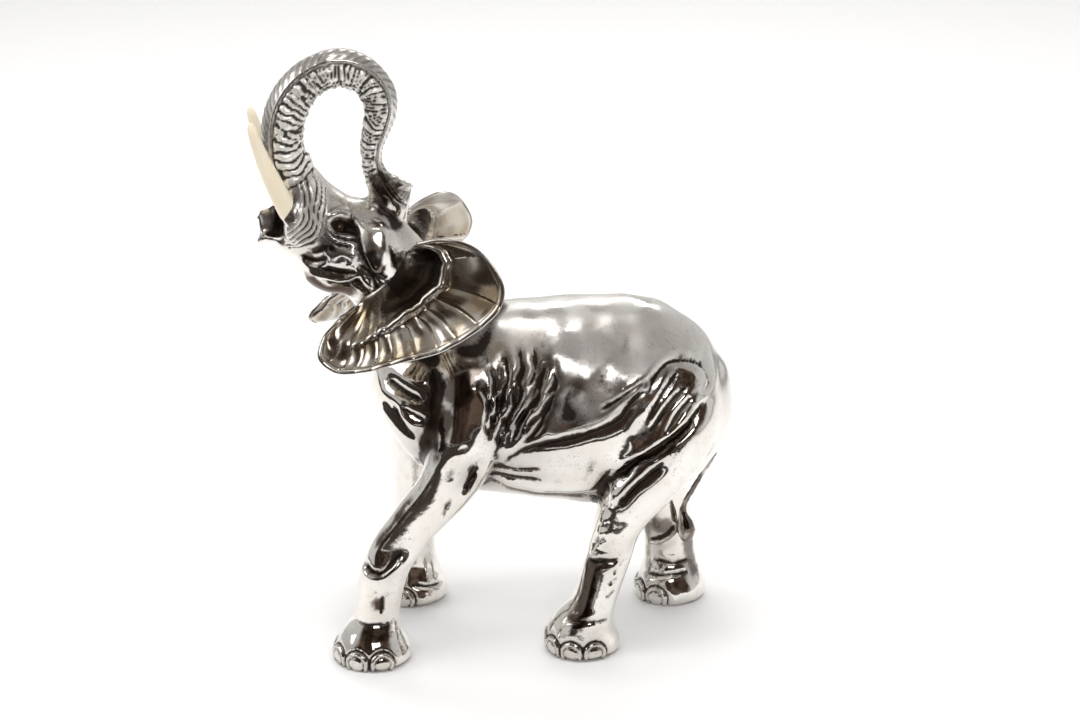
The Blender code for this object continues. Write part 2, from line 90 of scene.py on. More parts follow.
def path_frames(centre):
    """Direction of a path, the side across it and the direction left over, outward on a curl."""
    along = np.gradient(centre, axis=0)
    along /= np.linalg.norm(along, axis=1)[:, None]
    across = np.array([0.0, 1.0, 0.0]) - along[:, 1:2] * along
    across /= np.linalg.norm(across, axis=1)[:, None]
    return along, across, np.cross(along, across)


def points_of(piece):
    points = np.empty(len(piece.data.vertices) * 3)
    piece.data.vertices.foreach_get("co", points)
    return points.reshape(-1, 3) / MM


def set_points(piece, points):
    piece.data.vertices.foreach_set("co", (points * MM).ravel())
    piece.data.update()


def select_only(piece):
    bpy.ops.object.select_all(action="DESELECT")
    bpy.context.view_layer.objects.active = piece
    piece.select_set(True)


def face_out(piece):
    """Turn every face of a closed piece outward."""
    select_only(piece)
    bpy.ops.object.mode_set(mode="EDIT")
    bpy.ops.mesh.select_all(action="SELECT")
    bpy.ops.mesh.normals_make_consistent(inside=False)
    bpy.ops.object.mode_set(mode="OBJECT")


def round_bar(name, rows, rings=56, sides=36):
    """A round bar cut into rings, each ring then brought to its place and oval size on the path."""
    bpy.ops.object.select_all(action="DESELECT")
    bpy.ops.mesh.primitive_cylinder_add(vertices=sides, radius=1.0, depth=rings - 1.0)
    bar = bpy.context.active_object
    bar.name = name
    bpy.ops.object.mode_set(mode="EDIT")
    bpy.ops.mesh.select_all(action="DESELECT")
    mesh = bmesh.from_edit_mesh(bar.data)
    for edge in mesh.edges:
        edge.select_set(abs(edge.verts[0].co.z - edge.verts[1].co.z) > 0.5)
    bmesh.update_edit_mesh(bar.data)
    bpy.ops.mesh.subdivide(number_cuts=rings - 2)
    bpy.ops.object.mode_set(mode="OBJECT")
    straight = points_of(bar) * MM
    ring = np.rint(straight[:, 2] + (rings - 1) / 2).astype(int)
    path = spline(rows, rings)
    centre, width, depth = path[:, :3], path[:, 3], path[:, -1]
    _, across, out = path_frames(centre)
    bent = centre[ring] + across[ring] * (width[ring] * straight[:, 0])[:, None]
    set_points(bar, bent + out[ring] * (depth[ring] * straight[:, 1])[:, None])
    face_out(bar)
    return bar


def new_material(name, roughness, metallic):
    """Material with a Principled shader, and its node tree to build on."""
    material = bpy.data.materials.new(name)
    material.use_nodes = True
    tree = material.node_tree
    shader = tree.nodes["Principled BSDF"]
    shader.inputs["Roughness"].default_value = roughness
    shader.inputs["Metallic"].default_value = metallic
    return material, tree, shader


def add_noise(tree, size, detail=3.0, stretch=(1.0, 1.0, 1.0)):
    """Noise on Object coordinates whose blobs measure about the given millimetres."""
    where = tree.nodes.new("ShaderNodeTexCoord")
    mapping = tree.nodes.new("ShaderNodeMapping")
    mapping.inputs["Scale"].default_value = stretch
    noise = tree.nodes.new("ShaderNodeTexNoise")
    noise.inputs["Scale"].default_value = 1.0 / (size * MM)
    noise.inputs["Detail"].default_value = detail
    tree.links.new(where.outputs["Object"], mapping.inputs["Vector"])
    tree.links.new(mapping.outputs["Vector"], noise.inputs["Vector"])
    return noise.outputs["Fac"]


def remap(tree, value, low, high, to_low, to_high):
    """Bring a value from one range to another, held at both ends."""
    node = tree.nodes.new("ShaderNodeMapRange")
    tree.links.new(value, node.inputs["Value"])
    for key, number in zip(("From Min", "From Max", "To Min", "To Max"), (low, high, to_low, to_high)):
        node.inputs[key].default_value = number
    return node.outputs["Result"]


def mix_colour(tree, share, first, second):
    """Mix of two colours, each given as a value or as the socket it comes from."""
    node = tree.nodes.new("ShaderNodeMix")
    node.data_type = "RGBA"
    tree.links.new(share, node.inputs[0])
    for socket, colour in ((node.inputs[6], first), (node.inputs[7], second)):
        if isinstance(colour, tuple):
            socket.default_value = colour
        else:
            tree.links.new(colour, socket)
    return node.outputs[2]


def add_bump(tree, shader, height, distance, strength=1.0):
    bump = tree.nodes.new("ShaderNodeBump")
    bump.inputs["Strength"].default_value = strength
    bump.inputs["Distance"].default_value = distance * MM
    tree.links.new(height, bump.inputs["Height"])
    tree.links.new(bump.outputs["Normal"], shader.inputs["Normal"])


ivory, tree, shader = new_material("ivory", 0.34, 0.0)
shader.inputs["Subsurface Weight"].default_value = 0.15
shader.inputs["Subsurface Radius"].default_value = (0.004, 0.003, 0.002)
shader.inputs["Coat Weight"].default_value = 0.25
shader.inputs["Coat Roughness"].default_value = 0.2
grain = add_noise(tree, 9.0, stretch=(1.0, 1.0, 0.25))
tone = mix_colour(tree, remap(tree, grain, 0.35, 0.75, 0.0, 0.4), IVORY_PALE, IVORY_DEEP)
tree.links.new(tone, shader.inputs["Base Color"])
add_bump(tree, shader, add_noise(tree, 1.6, stretch=(1.0, 1.0, 0.3)), 0.05)

tusks = []
for name, side in (("tusk_left", -1), ("tusk_right", 1)):
    rows = [(x, -side * y, z, radius) for x, y, z, radius in TUSK]
    tusk = round_bar(name + "_ivory", rows, rings=60, sides=40)
    tusks.append(tusk)
    tusk.data.materials.append(ivory)
    tusk.data.shade_smooth()
    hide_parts(name)
    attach(tusk, "root")

left = points_of(tusks[0])
node_box = np.array(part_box("tusk_left")) / MM
ORIGIN = (left.min(axis=0) + left.max(axis=0)) / 2 - node_box.mean(axis=0)
for tusk in tusks:
    set_points(tusk, points_of(tusk) - ORIGIN)

# The body. Resin with a laminated skin of silver, one cast with the head, trunk, legs and tail,
# polished by hand and left dark in the folds. Rows are centre x, y, z, then half width and half
# depth of the oval section, or one radius where it is round, with the head at -X.
TORSO = [
    (-51.0, 0, 109.0, 6.0, 9.0), (-49.5, 0, 110.0, 17.0, 22.0), (-45.0, 0, 112.5, 25.0, 31.0),
    (-37.0, 0, 117.0, 32.0, 39.0), (-20.0, 0, 121.5, 37.0, 45.5), (0.0, 0, 123.5, 41.5, 49.5),
    (24.0, 0, 123.3, 45.0, 51.3), (46.0, 0, 122.0, 47.0, 53.5), (66.0, 0, 121.5, 46.5, 54.0),
    (82.0, 0, 121.0, 44.0, 51.5), (95.0, 0, 121.2, 40.0, 45.5), (105.0, 0, 121.8, 34.0, 38.0),
    (112.5, 0, 122.0, 27.0, 28.5), (118.5, 0, 122.5, 18.0, 18.0), (121.6, 0, 122.5, 9.5, 9.0),
    (122.6, 0, 122.5, 3.0, 3.0),
]
NECK = [
    (6.0, 0, 132.0, 33.0, 33.0), (-12.0, 0, 149.0, 29.0, 29.0), (-26.5, 0, 165.5, 25.5, 26.0),
    (-40.5, 0, 180.5, 23.5, 24.0), (-53.0, 0, 194.0, 23.5, 23.0), (-62.0, 0, 203.0, 22.5, 21.0),
    (-69.0, 0, 210.0, 18.0, 16.0),
]
TRUNK = [
    (-64.0, 0, 206.0, 20.0, 18.0), (-76.0, 0, 214.5, 19.5, 17.5), (-87.0, 0, 225.5, 17.5, 15.0),
    (-94.8, 0, 238.0, 15.0, 12.6), (-99.5, 0, 250.0, 12.8, 11.3), (-101.3, 0, 262.0, 11.6, 10.8),
    (-99.8, 0, 274.0, 11.0, 10.7), (-93.8, 0, 285.6, 10.6, 10.3), (-84.2, 0, 293.6, 10.2, 10.0),
    (-73.0, 0, 296.3, 9.8, 9.8), (-62.6, 0, 292.8, 9.4, 9.6), (-55.6, 0, 284.8, 9.0, 9.3),
    (-53.8, 0, 275.4, 8.4, 8.6), (-55.8, 0, 266.2, 7.4, 7.2), (-58.3, 0, 257.0, 6.6, 5.8),
    (-58.4, 0, 248.5, 6.4, 5.6), (-56.0, 0, 240.5, 6.8, 6.3), (-52.3, 0, 233.0, 7.4, 7.2),
    (-47.5, 0, 227.5, 7.5, 8.0), (-43.0, 0, 225.3, 7.2, 8.2), (-40.4, 0, 225.0, 6.4, 7.4),
]
TRUNK_FINGER = [
    (-54.0, 0, 238.5, 5.4, 5.0), (-47.5, 0, 237.8, 5.0, 4.0), (-41.5, 0, 236.6, 3.4, 2.6),
    (-36.4, 0, 236.0, 1.0, 0.9),
]
LEFT_FORELEG = [
    (-8.0, -20, 150.0, 14.0, 22.0), (-13.0, -26, 132.0, 17.0, 20.0), (-15.5, -31, 118.0, 16.0, 18.5),
    (-19.0, -33.5, 104.0, 15.0, 16.5), (-26.0, -35, 91.0, 13.5, 14.5), (-36.0, -36, 79.0, 12.5, 13.0),
    (-46.5, -36.5, 66.0, 12.2, 12.0), (-54.5, -37, 53.5, 12.2, 12.2), (-58.5, -37, 42.0, 12.0, 12.0),
    (-60.5, -36.5, 31.0, 11.5, 11.6), (-61.3, -36.5, 22.0, 12.0, 12.2), (-62.3, -36, 13.5, 16.5, 17.0),
    (-62.8, -36, 7.0, 19.6, 20.0), (-62.8, -36, 2.5, 20.4, 20.8), (-62.8, -36, 0.0, 19.6, 20.0),
]
RIGHT_FORELEG = [
    (-14.0, 20, 150.0, 14.0, 20.0), (-22.0, 27, 128.0, 17.0, 22.0), (-29.0, 31.5, 108.0, 16.5, 20.0),
    (-33.0, 34.5, 90.0, 15.0, 17.5), (-35.5, 36.5, 72.0, 13.0, 14.5), (-37.0, 38, 54.0, 12.0, 12.2),
    (-37.8, 39, 40.0, 11.5, 11.6), (-38.3, 39.5, 28.0, 11.5, 11.6), (-39.0, 40, 18.0, 13.5, 13.8),
    (-39.7, 40, 10.5, 17.0, 17.3), (-39.7, 40, 5.5, 19.0, 19.2), (-39.7, 40, 2.0, 19.4, 19.6),
    (-39.7, 40, 0.0, 18.6, 18.8),
]
LEFT_HINDLEG = [
    (88.0, -20, 146.0, 14.0, 20.0), (85.9, -26, 126.3, 18.0, 26.8), (81.0, -30.5, 107.0, 18.0, 24.6),
    (73.9, -34, 92.2, 16.5, 19.0), (66.2, -35.5, 80.0, 15.0, 14.9), (59.8, -36, 67.4, 13.0, 12.4),
    (56.5, -36, 55.0, 12.0, 12.0), (53.5, -36, 44.0, 11.6, 11.3), (50.0, -35.5, 32.0, 11.6, 11.3),
    (46.5, -35, 21.5, 12.6, 12.4), (43.6, -34.5, 13.0, 16.4, 16.8), (42.9, -34, 7.0, 18.8, 19.2),
    (42.9, -34, 2.5, 19.3, 19.7), (42.9, -34, 0.0, 18.5, 18.9),
]
RIGHT_HINDLEG = [
    (90.0, 20, 146.0, 14.0, 20.0), (94.0, 26, 122.0, 17.0, 26.0), (94.0, 30, 99.0, 17.0, 22.5),
    (90.8, 32, 80.0, 16.0, 17.3), (89.6, 32.5, 64.0, 14.0, 14.4), (91.6, 32.5, 50.0, 13.0, 14.0),
    (93.8, 32, 37.0, 12.6, 13.4), (94.8, 31.5, 26.0, 12.8, 13.5), (95.3, 31, 17.0, 14.6, 15.2),
    (95.5, 30.5, 10.5, 17.4, 17.8), (95.5, 30, 5.5, 19.0, 19.3), (95.5, 30, 2.0, 19.4, 19.7),
    (95.5, 30, 0.0, 18.6, 18.9),
]
TAIL = [
    (116.8, 1, 127.0, 3.8), (118.6, 1.5, 118.0, 3.0), (118.6, 2, 110.0, 2.6), (116.9, 3.5, 99.0, 2.3),
    (113.6, 5.5, 87.5, 2.2), (108.4, 8, 76.0, 2.2), (103.2, 10.5, 65.0, 2.2), (99.8, 11.6, 57.8, 2.2),
    (98.9, 11.8, 53.8, 2.4), (99.8, 11.8, 50.2, 3.6), (101.0, 11.8, 45.8, 4.9),
    (101.3, 11.8, 41.4, 4.9), (101.1, 11.8, 36.6, 2.5),
]
TAIL_REACH = 6.5
TAIL_ROOT_TOP = 122.0
LIP = [
    (-84.0, 0, 212.0, 15.0, 12.0), (-91.0, 0, 213.0, 13.6, 11.6), (-97.5, 0, 215.0, 11.2, 12.0),
    (-103.0, 0, 216.9, 8.7, 12.1), (-107.2, 0, 217.0, 6.6, 11.4), (-110.4, 0, 213.8, 4.8, 7.0),
    (-113.2, 0, 210.9, 2.8, 2.9), (-115.8, 0, 209.6, 0.9, 0.9),
]
MOUTH = [
    (-96.5, 0, 225.0, 2.2, 11.0), (-99.8, -0.6, 224.0, 5.0, 12.4), (-104.0, -0.8, 223.8, 5.0, 13.2),
    (-108.0, -0.6, 223.8, 3.6, 13.4), (-111.5, 0, 224.0, 2.1, 12.6), (-116.5, 0, 225.0, 1.2, 10.8),
]
# Rounded masses of the head as centre x, y, z and the three half sizes.
HEAD_MASSES = [
    (-66.0, 0, 207.0, 23.0, 21.5, 23.0), (-53.0, 0, 200.0, 20.0, 20.0, 20.5),
    (-79.0, 0, 197.5, 15.5, 16.5, 15.0), (-90.0, 0, 221.0, 12.5, 17.5, 17.0),
    (-56.5, -17, 206.0, 10.5, 9.0, 16.0), (-56.5, 17, 206.0, 10.5, 9.0, 16.0),
    (-95.0, -11, 219.5, 8.0, 8.4, 9.5), (-95.0, 11, 219.5, 8.0, 8.4, 9.5),
    (-97.0, -14.0, 226.5, 7.0, 6.0, 7.0), (-97.0, 14.0, 226.5, 7.0, 6.0, 7.0),
]
# The ball that opens the lip on its left, where the scoop shows its dark inside.
LIP_OPENING = (-111.0, -8.5, 223.0, 13.0, 9.0, 11.5)
VOXEL = 1.8
SOLE_BAND = 0.9


def apply_modifier(piece, kind, **settings):
    select_only(piece)
    modifier = piece.modifiers.new(kind.title(), kind)
    for key, value in settings.items():
        setattr(modifier, key, value)
    bpy.ops.object.modifier_apply(modifier=modifier.name)


def rounded_mass(name, row):
    """Ball placed at its centre and stretched to its three half sizes."""
    bpy.ops.object.select_all(action="DESELECT")
    bpy.ops.mesh.primitive_uv_sphere_add(segments=40, ring_count=24, radius=1.0)
    ball = bpy.context.active_object
    ball.name = name
    set_points(ball, np.array(row[:3]) + points_of(ball) * MM * np.array(row[3:]))
    return ball


def edges_of(piece):
    edges = np.empty(len(piece.data.edges) * 2, int)
    piece.data.edges.foreach_get("vertices", edges)
    return edges.reshape(-1, 2).T


def smoothed(values, edges, rounds, strength):
    """Values evened out over neighbouring points; strength is one number for each point."""
    first, second = edges
    count = np.bincount(np.concatenate((first, second)), minlength=len(values))
    flat = values.reshape(len(values), -1)
    for turn in range(rounds):
        total = np.stack([np.bincount(first, column[second], len(flat))
                          + np.bincount(second, column[first], len(flat)) for column in flat.T], axis=1)
        flat = flat + strength[:, None] * (total / count[:, None] - flat)
    return flat.reshape(values.shape)


def normals_of(piece):
    normals = np.empty(len(piece.data.vertices) * 3)
    piece.data.vertices.foreach_get("normal", normals)
    return normals.reshape(-1, 3)


def tail_distances(points):
    """The points behind the rump, how far each is from every step of the tail, and its radius there."""
    path = spline(TAIL, 90)
    behind = np.flatnonzero((points[:, 0] > 90) & (np.abs(points[:, 1]) < 30))
    return behind, np.linalg.norm(points[behind, None, :] - path[:, :3], axis=2), path[:, 3]


def slender(points):
    """Where the cast is too thin for strong smoothing: the lip, the trunk and the tail."""
    thin = (points[:, 0] < -95) | (points[:, 2] > 232)
    behind, apart, _ = tail_distances(points)
    thin[behind[apart.min(axis=1) < TAIL_REACH]] = True
    return thin


def on_tail(points):
    """1 on the cord and the tuft of the tail, falling to 0 just beside them."""
    behind, apart, radius = tail_distances(points)
    beside = np.clip(1.6 - (apart - radius).min(axis=1) / 0.8, 0, 1)
    share = np.zeros(len(points))
    share[behind] = np.where(points[behind, 2] < TAIL_ROOT_TOP, beside, 0.0)
    return share


parts = [round_bar(name, rows) for name, rows in (
    ("torso", TORSO), ("neck", NECK), ("trunk", TRUNK), ("finger", TRUNK_FINGER),
    ("foreleg_left", LEFT_FORELEG), ("foreleg_right", RIGHT_FORELEG), ("hindleg_left", LEFT_HINDLEG),
    ("hindleg_right", RIGHT_HINDLEG), ("tail", TAIL))]
lip = round_bar("lip", LIP)
mouth = round_bar("mouth", MOUTH)
opening = rounded_mass("opening", LIP_OPENING)
for hollow in (mouth, opening):
    apply_modifier(lip, "BOOLEAN", object=hollow, operation="DIFFERENCE", solver="EXACT")
    bpy.data.objects.remove(hollow)
parts.append(lip)
parts += [rounded_mass("mass", row) for row in HEAD_MASSES]
select_only(parts[0])
for part in parts:
    part.select_set(True)
bpy.ops.object.join()
elephant = parts[0]
elephant.name = "elephant_cast"
apply_modifier(elephant, "REMESH", mode="VOXEL", voxel_size=VOXEL * MM)
points = points_of(elephant)
set_points(elephant, smoothed(points, edges_of(elephant), 10, np.where(slender(points), 0.15, 0.6)))

# The carving. Folds of the skin, worked into the model before casting: each row is a kind of cut,
# its width and depth in millimetres and its line in side view as x, z. A crease is a valley with
# swollen sides, a lap hangs over to the left of its line, a swell rises broadly or sinks.
FLANK_FOLDS = [
    ("lap", 2.4, 2.2, [(-3, 91), (12, 87), (31, 85), (46, 87), (53, 94)]),
    ("crease", 1.6, 1.4, [(-5, 98), (10, 95), (23, 93)]),
    ("crease", 1.4, 1.2, [(-4, 103), (8, 100), (22, 100)]),
    ("crease", 1.8, 1.6, [(-2, 109), (3, 122), (7, 135), (11, 147), (17, 157)]),
    ("crease", 1.9, 1.8, [(3, 111), (11, 125), (16, 137), (21, 149), (28, 156)]),
    ("crease", 1.9, 1.7, [(8, 112), (18, 122), (24, 133), (28, 142), (32, 150)]),
    ("crease", 1.5, 1.3, [(0, 116), (2, 130), (3, 140), (6, 149)]),
    ("lap", 2.8, 2.0, [(1, 104), (15, 114), (30, 118), (45, 122), (57, 128), (65, 137), (74, 146)]),
    ("lap", 3.4, 3.4, [(53, 93), (69, 107), (84, 117), (95, 125), (103, 133)]),
    ("crease", 1.4, 1.5, [(72, 124), (79, 136), (90, 149)]),
    ("crease", 1.4, 1.5, [(75, 121), (85, 134), (95, 142)]),
    ("crease", 1.4, 1.5, [(81, 117), (90, 130), (98, 137)]),
    ("crease", 1.9, 1.8, [(73, 137), (77, 146), (84, 152), (96, 151), (104, 146), (106, 140), (100, 137)]),
    ("lap", 2.6, 2.1, [(56, 81), (69, 95), (82, 106)]),
    ("crease", 2.2, 1.6, [(3, 159), (1, 144), (-1, 131), (-6, 118)]),
    ("crease", 1.6, 1.6, [(61, 103), (68, 106), (75, 108), (84, 113)]),
    ("crease", 1.6, 1.6, [(80, 113), (88, 117), (98, 125)]),
    ("crease", 1.4, 1.3, [(49, 132), (58, 137), (66, 142), (77, 147)]),
    ("crease", 1.3, 1.2, [(56, 131), (65, 137), (74, 142)]),
    ("swell", 11.0, -1.8, [(44, 160), (66, 162), (84, 158), (100, 150)]),
    ("swell", 12.0, 1.5, [(22, 160), (36, 154), (48, 144)]),
    ("swell", 12.0, -1.5, [(28, 142), (36, 130), (42, 118)]),
    ("swell", 9.0, 2.1, [(58, 138), (74, 151), (90, 156), (103, 150)]),
    ("swell", 8.0, -1.6, [(66, 114), (78, 121), (92, 129), (104, 136)]),
]
LEFT_FOLDS = [
    ("crease", 2.6, 1.9, [(51, 80), (52, 92), (56, 102)]),
    ("swell", 5.0, -2.2, [(-29, 151), (-30, 138), (-32, 123), (-35, 106)]),
    ("lap", 2.4, 2.6, [(-4, 95), (8, 87), (30, 82), (52, 82)]),
    ("crease", 2.2, 1.6, [(-58.5, 39), (-59, 33), (-59, 29)]),
    ("crease", 0.9, 0.7, [(-62, 41), (-61, 39)]),
    ("crease", 1.2, 1.4, [(-66, 54), (-66, 51)]),
    ("crease", 2.8, 2.4, [(-18, 90), (-14, 99), (-9, 109)]),
    ("crease", 1.0, 0.8, [(-28, 77), (-26, 84), (-23, 88)]),
    ("lap", 1.7, 2.1, [(-49, 59), (-55, 53), (-59, 50), (-64, 50), (-68, 53)]),
    ("crease", 1.2, 1.0, [(-73, 24), (-66, 23), (-57, 23), (-50, 24)]),
    ("crease", 3.0, 2.8, [(-55, 143), (-47, 139), (-36, 134)]),
    ("crease", 2.2, 2.4, [(-52, 131), (-47, 121), (-40, 113)]),
    ("crease", 1.8, 2.0, [(-47, 131), (-42, 128), (-36, 124)]),
    ("crease", 1.6, 1.6, [(-53, 110), (-45, 100)]),
    ("lap", 1.7, 1.9, [(45, 52), (52, 53), (60, 53)]),
    ("crease", 1.1, 1.0, [(46, 60), (53, 65)]),
    ("crease", 1.0, 0.9, [(50, 69), (56, 73)]),
    ("crease", 1.2, 1.2, [(31, 20), (38, 21), (47, 21), (57, 21)]),
    ("crease", 1.0, 1.0, [(56, 44), (63, 52)]),
    ("crease", 1.0, 1.0, [(54, 39), (60, 44)]),
    ("crease", 1.0, 1.0, [(53, 32), (58, 37)]),
]
RIGHT_LEG_FOLDS = [
    ("lap", 1.8, 1.8, [(98, 43), (92, 36), (86, 33), (82, 32)]),
    ("crease", 1.3, 1.2, [(84, 24), (93, 22), (105, 23)]),
    ("crease", 1.3, 1.2, [(81, 15), (91, 16), (104, 17)]),
    ("crease", 1.2, 1.1, [(-40, 12), (-34, 11), (-25, 10)]),
]
HEAD_FOLDS = [
    ("ridge", 1.6, 1.0, [(-80, 226), (-74, 227.5), (-69, 226)]),
    ("crease", 1.3, 1.0, [(-79, 217.5), (-73, 216), (-67, 214)]),
    ("crease", 1.1, 0.8, [(-78, 213.5), (-72, 212), (-66, 210)]),
    ("lap", 1.8, 2.0, [(-69, 227), (-67, 220), (-64, 209), (-58, 199), (-53, 196)]),
    ("crease", 1.7, 1.5, [(-95, 205), (-89, 203), (-80, 206)]),
    ("lap", 1.8, 1.6, [(-84, 194), (-74, 192.5), (-65, 197)]),
    ("swell", 5.0, 2.4, [(-83, 207), (-74, 208), (-65, 209)]),
    ("crease", 2.2, 2.2, [(-86, 200), (-76, 198), (-66, 199)]),
    ("crease", 1.5, 1.6, [(-67, 204), (-61, 198), (-57, 190)]),
    ("crease", 1.3, 1.4, [(-70, 196), (-64, 191), (-59, 184)]),
    ("crease", 0.9, 0.9, [(-77, 205), (-74, 207), (-71, 205), (-73, 203)]),
]
# Streaks that spread from the pit of the elbow over the ribs, as turn in degrees, start and end.
RIB_PIT = (-4.0, 100.0)
RIB_STREAKS = [
    (52, 24, 52), (56, 34, 64), (60, 20, 58), (64, 14, 44), (67, 30, 66), (70, 18, 52), (74, 36, 64),
    (77, 14, 40), (80, 26, 60), (84, 16, 44), (88, 24, 56), (93, 18, 46),
]
# Foot centre x, y, the radius at the nails and the way the toes point in degrees from -X.
FEET = [
    (-62.8, -36.0, 20.0, 20.0), (-39.7, 40.0, 19.0, -8.0), (42.9, -34.0, 19.0, 25.0),
    (95.5, 30.0, 19.0, -22.0),
]
NAIL_TURNS = (-80.0, -40.0, 0.0, 40.0, 80.0)
NAIL_SIZE = (5.6, 5.4, 1.0)
MUZZLE_CENTRE = (-101.6, 228.0)
EYE = (-73.5, 221.5)
BAND_HALF_TURN = math.radians(50.0)
BAND_PITCH = 3.3
# Flattened outer faces of the legs: side, x from and to, z from and to, and how far out the face is.
LEG_FACES = [
    (-1, -70, -12, 56, 112, 43.8), (1, -55, -15, 40, 96, 47.0), (-1, 44, 112, 70, 118, 47.2),
    (1, 60, 116, 60, 118, 46.8),
]
# The left hind shin, as heights and how much wider it is dressed there.
SHIN_HEIGHTS = (0, 7, 13, 21, 32, 44, 56, 64)
SHIN_SPREAD = (0, 0, 0.8, 2.6, 1.7, -0.3, -1.5, 0)


def ripple(points, size, seed):
    """Soft unevenness of about unit height whose waves measure about the given millimetres."""
    draw = np.random.default_rng(seed)
    waves = draw.normal(size=(24, 3)) / size * 2.2
    phases = draw.uniform(0, 2 * math.pi, 24)
    return np.cos(points @ waves.T + phases).sum(axis=1) / math.sqrt(12)


def cut(points, normals, row, y_side, facing):
    """Height that one fold adds to every point, seen square to the side."""
    kind, width, depth, line = row
    line = spline(line, 8 * len(line))
    share = np.linspace(0, 1, len(line))
    taper = np.clip(5.0 * np.minimum(share, 1 - share) + 0.12, 0, 1)
    low, high = line.min(axis=0) - 5 * width, line.max(axis=0) + 5 * width
    near = np.flatnonzero((points[:, 0] > low[0]) & (points[:, 0] < high[0]) & (points[:, 2] > low[1])
                          & (points[:, 2] < high[1]) & (points[:, 1] * y_side > 0)
                          & (normals[:, 1] * facing > 0.02))
    height = np.zeros(len(points))
    if len(near) == 0:
        return height
    flat = points[near][:, (0, 2)]
    apart = flat[:, None, :] - line
    distance = np.hypot(apart[:, :, 0], apart[:, :, 1])
    closest = distance.argmin(axis=1)
    ahead = np.gradient(line, axis=0)
    ahead /= np.linalg.norm(ahead, axis=1)[:, None]
    gap = apart[np.arange(len(near)), closest]
    side = np.sign(ahead[closest, 0] * gap[:, 1] - ahead[closest, 1] * gap[:, 0])
    away = distance[np.arange(len(near)), closest] / width
    if kind == "crease":
        shape = -np.exp(-1.3 * away) + 0.30 * np.exp(-((away - 2.0) / 1.0) ** 2)
    elif kind == "lap":
        over = 0.75 * (1 - np.exp(-2.2 * away)) * np.exp(-(away / 2.6) ** 2)
        under = -0.9 * np.exp(-(away / 1.5) ** 2)
        shape = np.where(side > 0, over - 0.35 * np.exp(-3.0 * away), under) - 0.2 * np.exp(-3.0 * away)
    elif kind == "ridge":
        shape = np.exp(-away ** 2) - 0.35 * np.exp(-((away - 1.9) / 0.7) ** 2)
    else:
        shape = np.exp(-away ** 2) if kind == "swell" else np.exp(-away ** 4)
    height[near] = depth * taper[closest] * shape * np.clip(normals[near, 1] * facing * 1.8, 0, 1)
    return height


def nails(points):
    """Toe nails as ovals with a raised rim and a groove round them."""
    height = np.zeros(len(points))
    wide, tall, lift = NAIL_SIZE
    for x, y, radius, toe in FEET:
        east, north = points[:, 0] - x, points[:, 1] - y
        turn = np.degrees(np.arctan2(-north, -east))
        near = (np.hypot(east, north) < radius * 1.4) & (points[:, 2] < 16)
        for nail in NAIL_TURNS:
            away = (turn - nail - toe + 180) % 360 - 180
            oval = np.hypot(np.radians(away) * radius / wide, (points[:, 2] - 3.6) / tall)
            plate = 0.5 * np.clip(1.1 - oval ** 4, 0, 1) - 0.5 * np.exp(-((oval - 0.74) / 0.12) ** 2)
            rim = 0.9 * (np.exp(-((oval - 1.0) / 0.13) ** 2) - np.exp(-((oval - 1.28) / 0.13) ** 2))
            height += np.where(near & (oval < 1.9), lift * (plate + rim), 0.0)
    return height


def cracked(u, v, seed):
    """Cells of a jittered grid: 0 on the crack between two cells, rising to about 1 inside one."""
    draw = np.random.default_rng(seed)
    jitter = draw.uniform(-1, 1, (256, 64, 2)) * (0.26, 0.5)
    base_u, base_v = np.floor(u).astype(int), np.floor(v).astype(int)
    best = np.full(len(u), 9.0)
    second = np.full(len(u), 9.0)
    for du in (-2, -1, 0, 1, 2):
        for dv in (-1, 0, 1):
            shift = jitter[(base_u + du) % 256, (base_v + dv) % 64]
            away = np.hypot(base_u + du + 0.5 + shift[:, 0] - u, base_v + dv + 0.5 + shift[:, 1] - v)
            second = np.minimum(second, np.maximum(best, away))
            best = np.minimum(best, away)
    return np.clip((second - best) / 0.9, 0, 1)


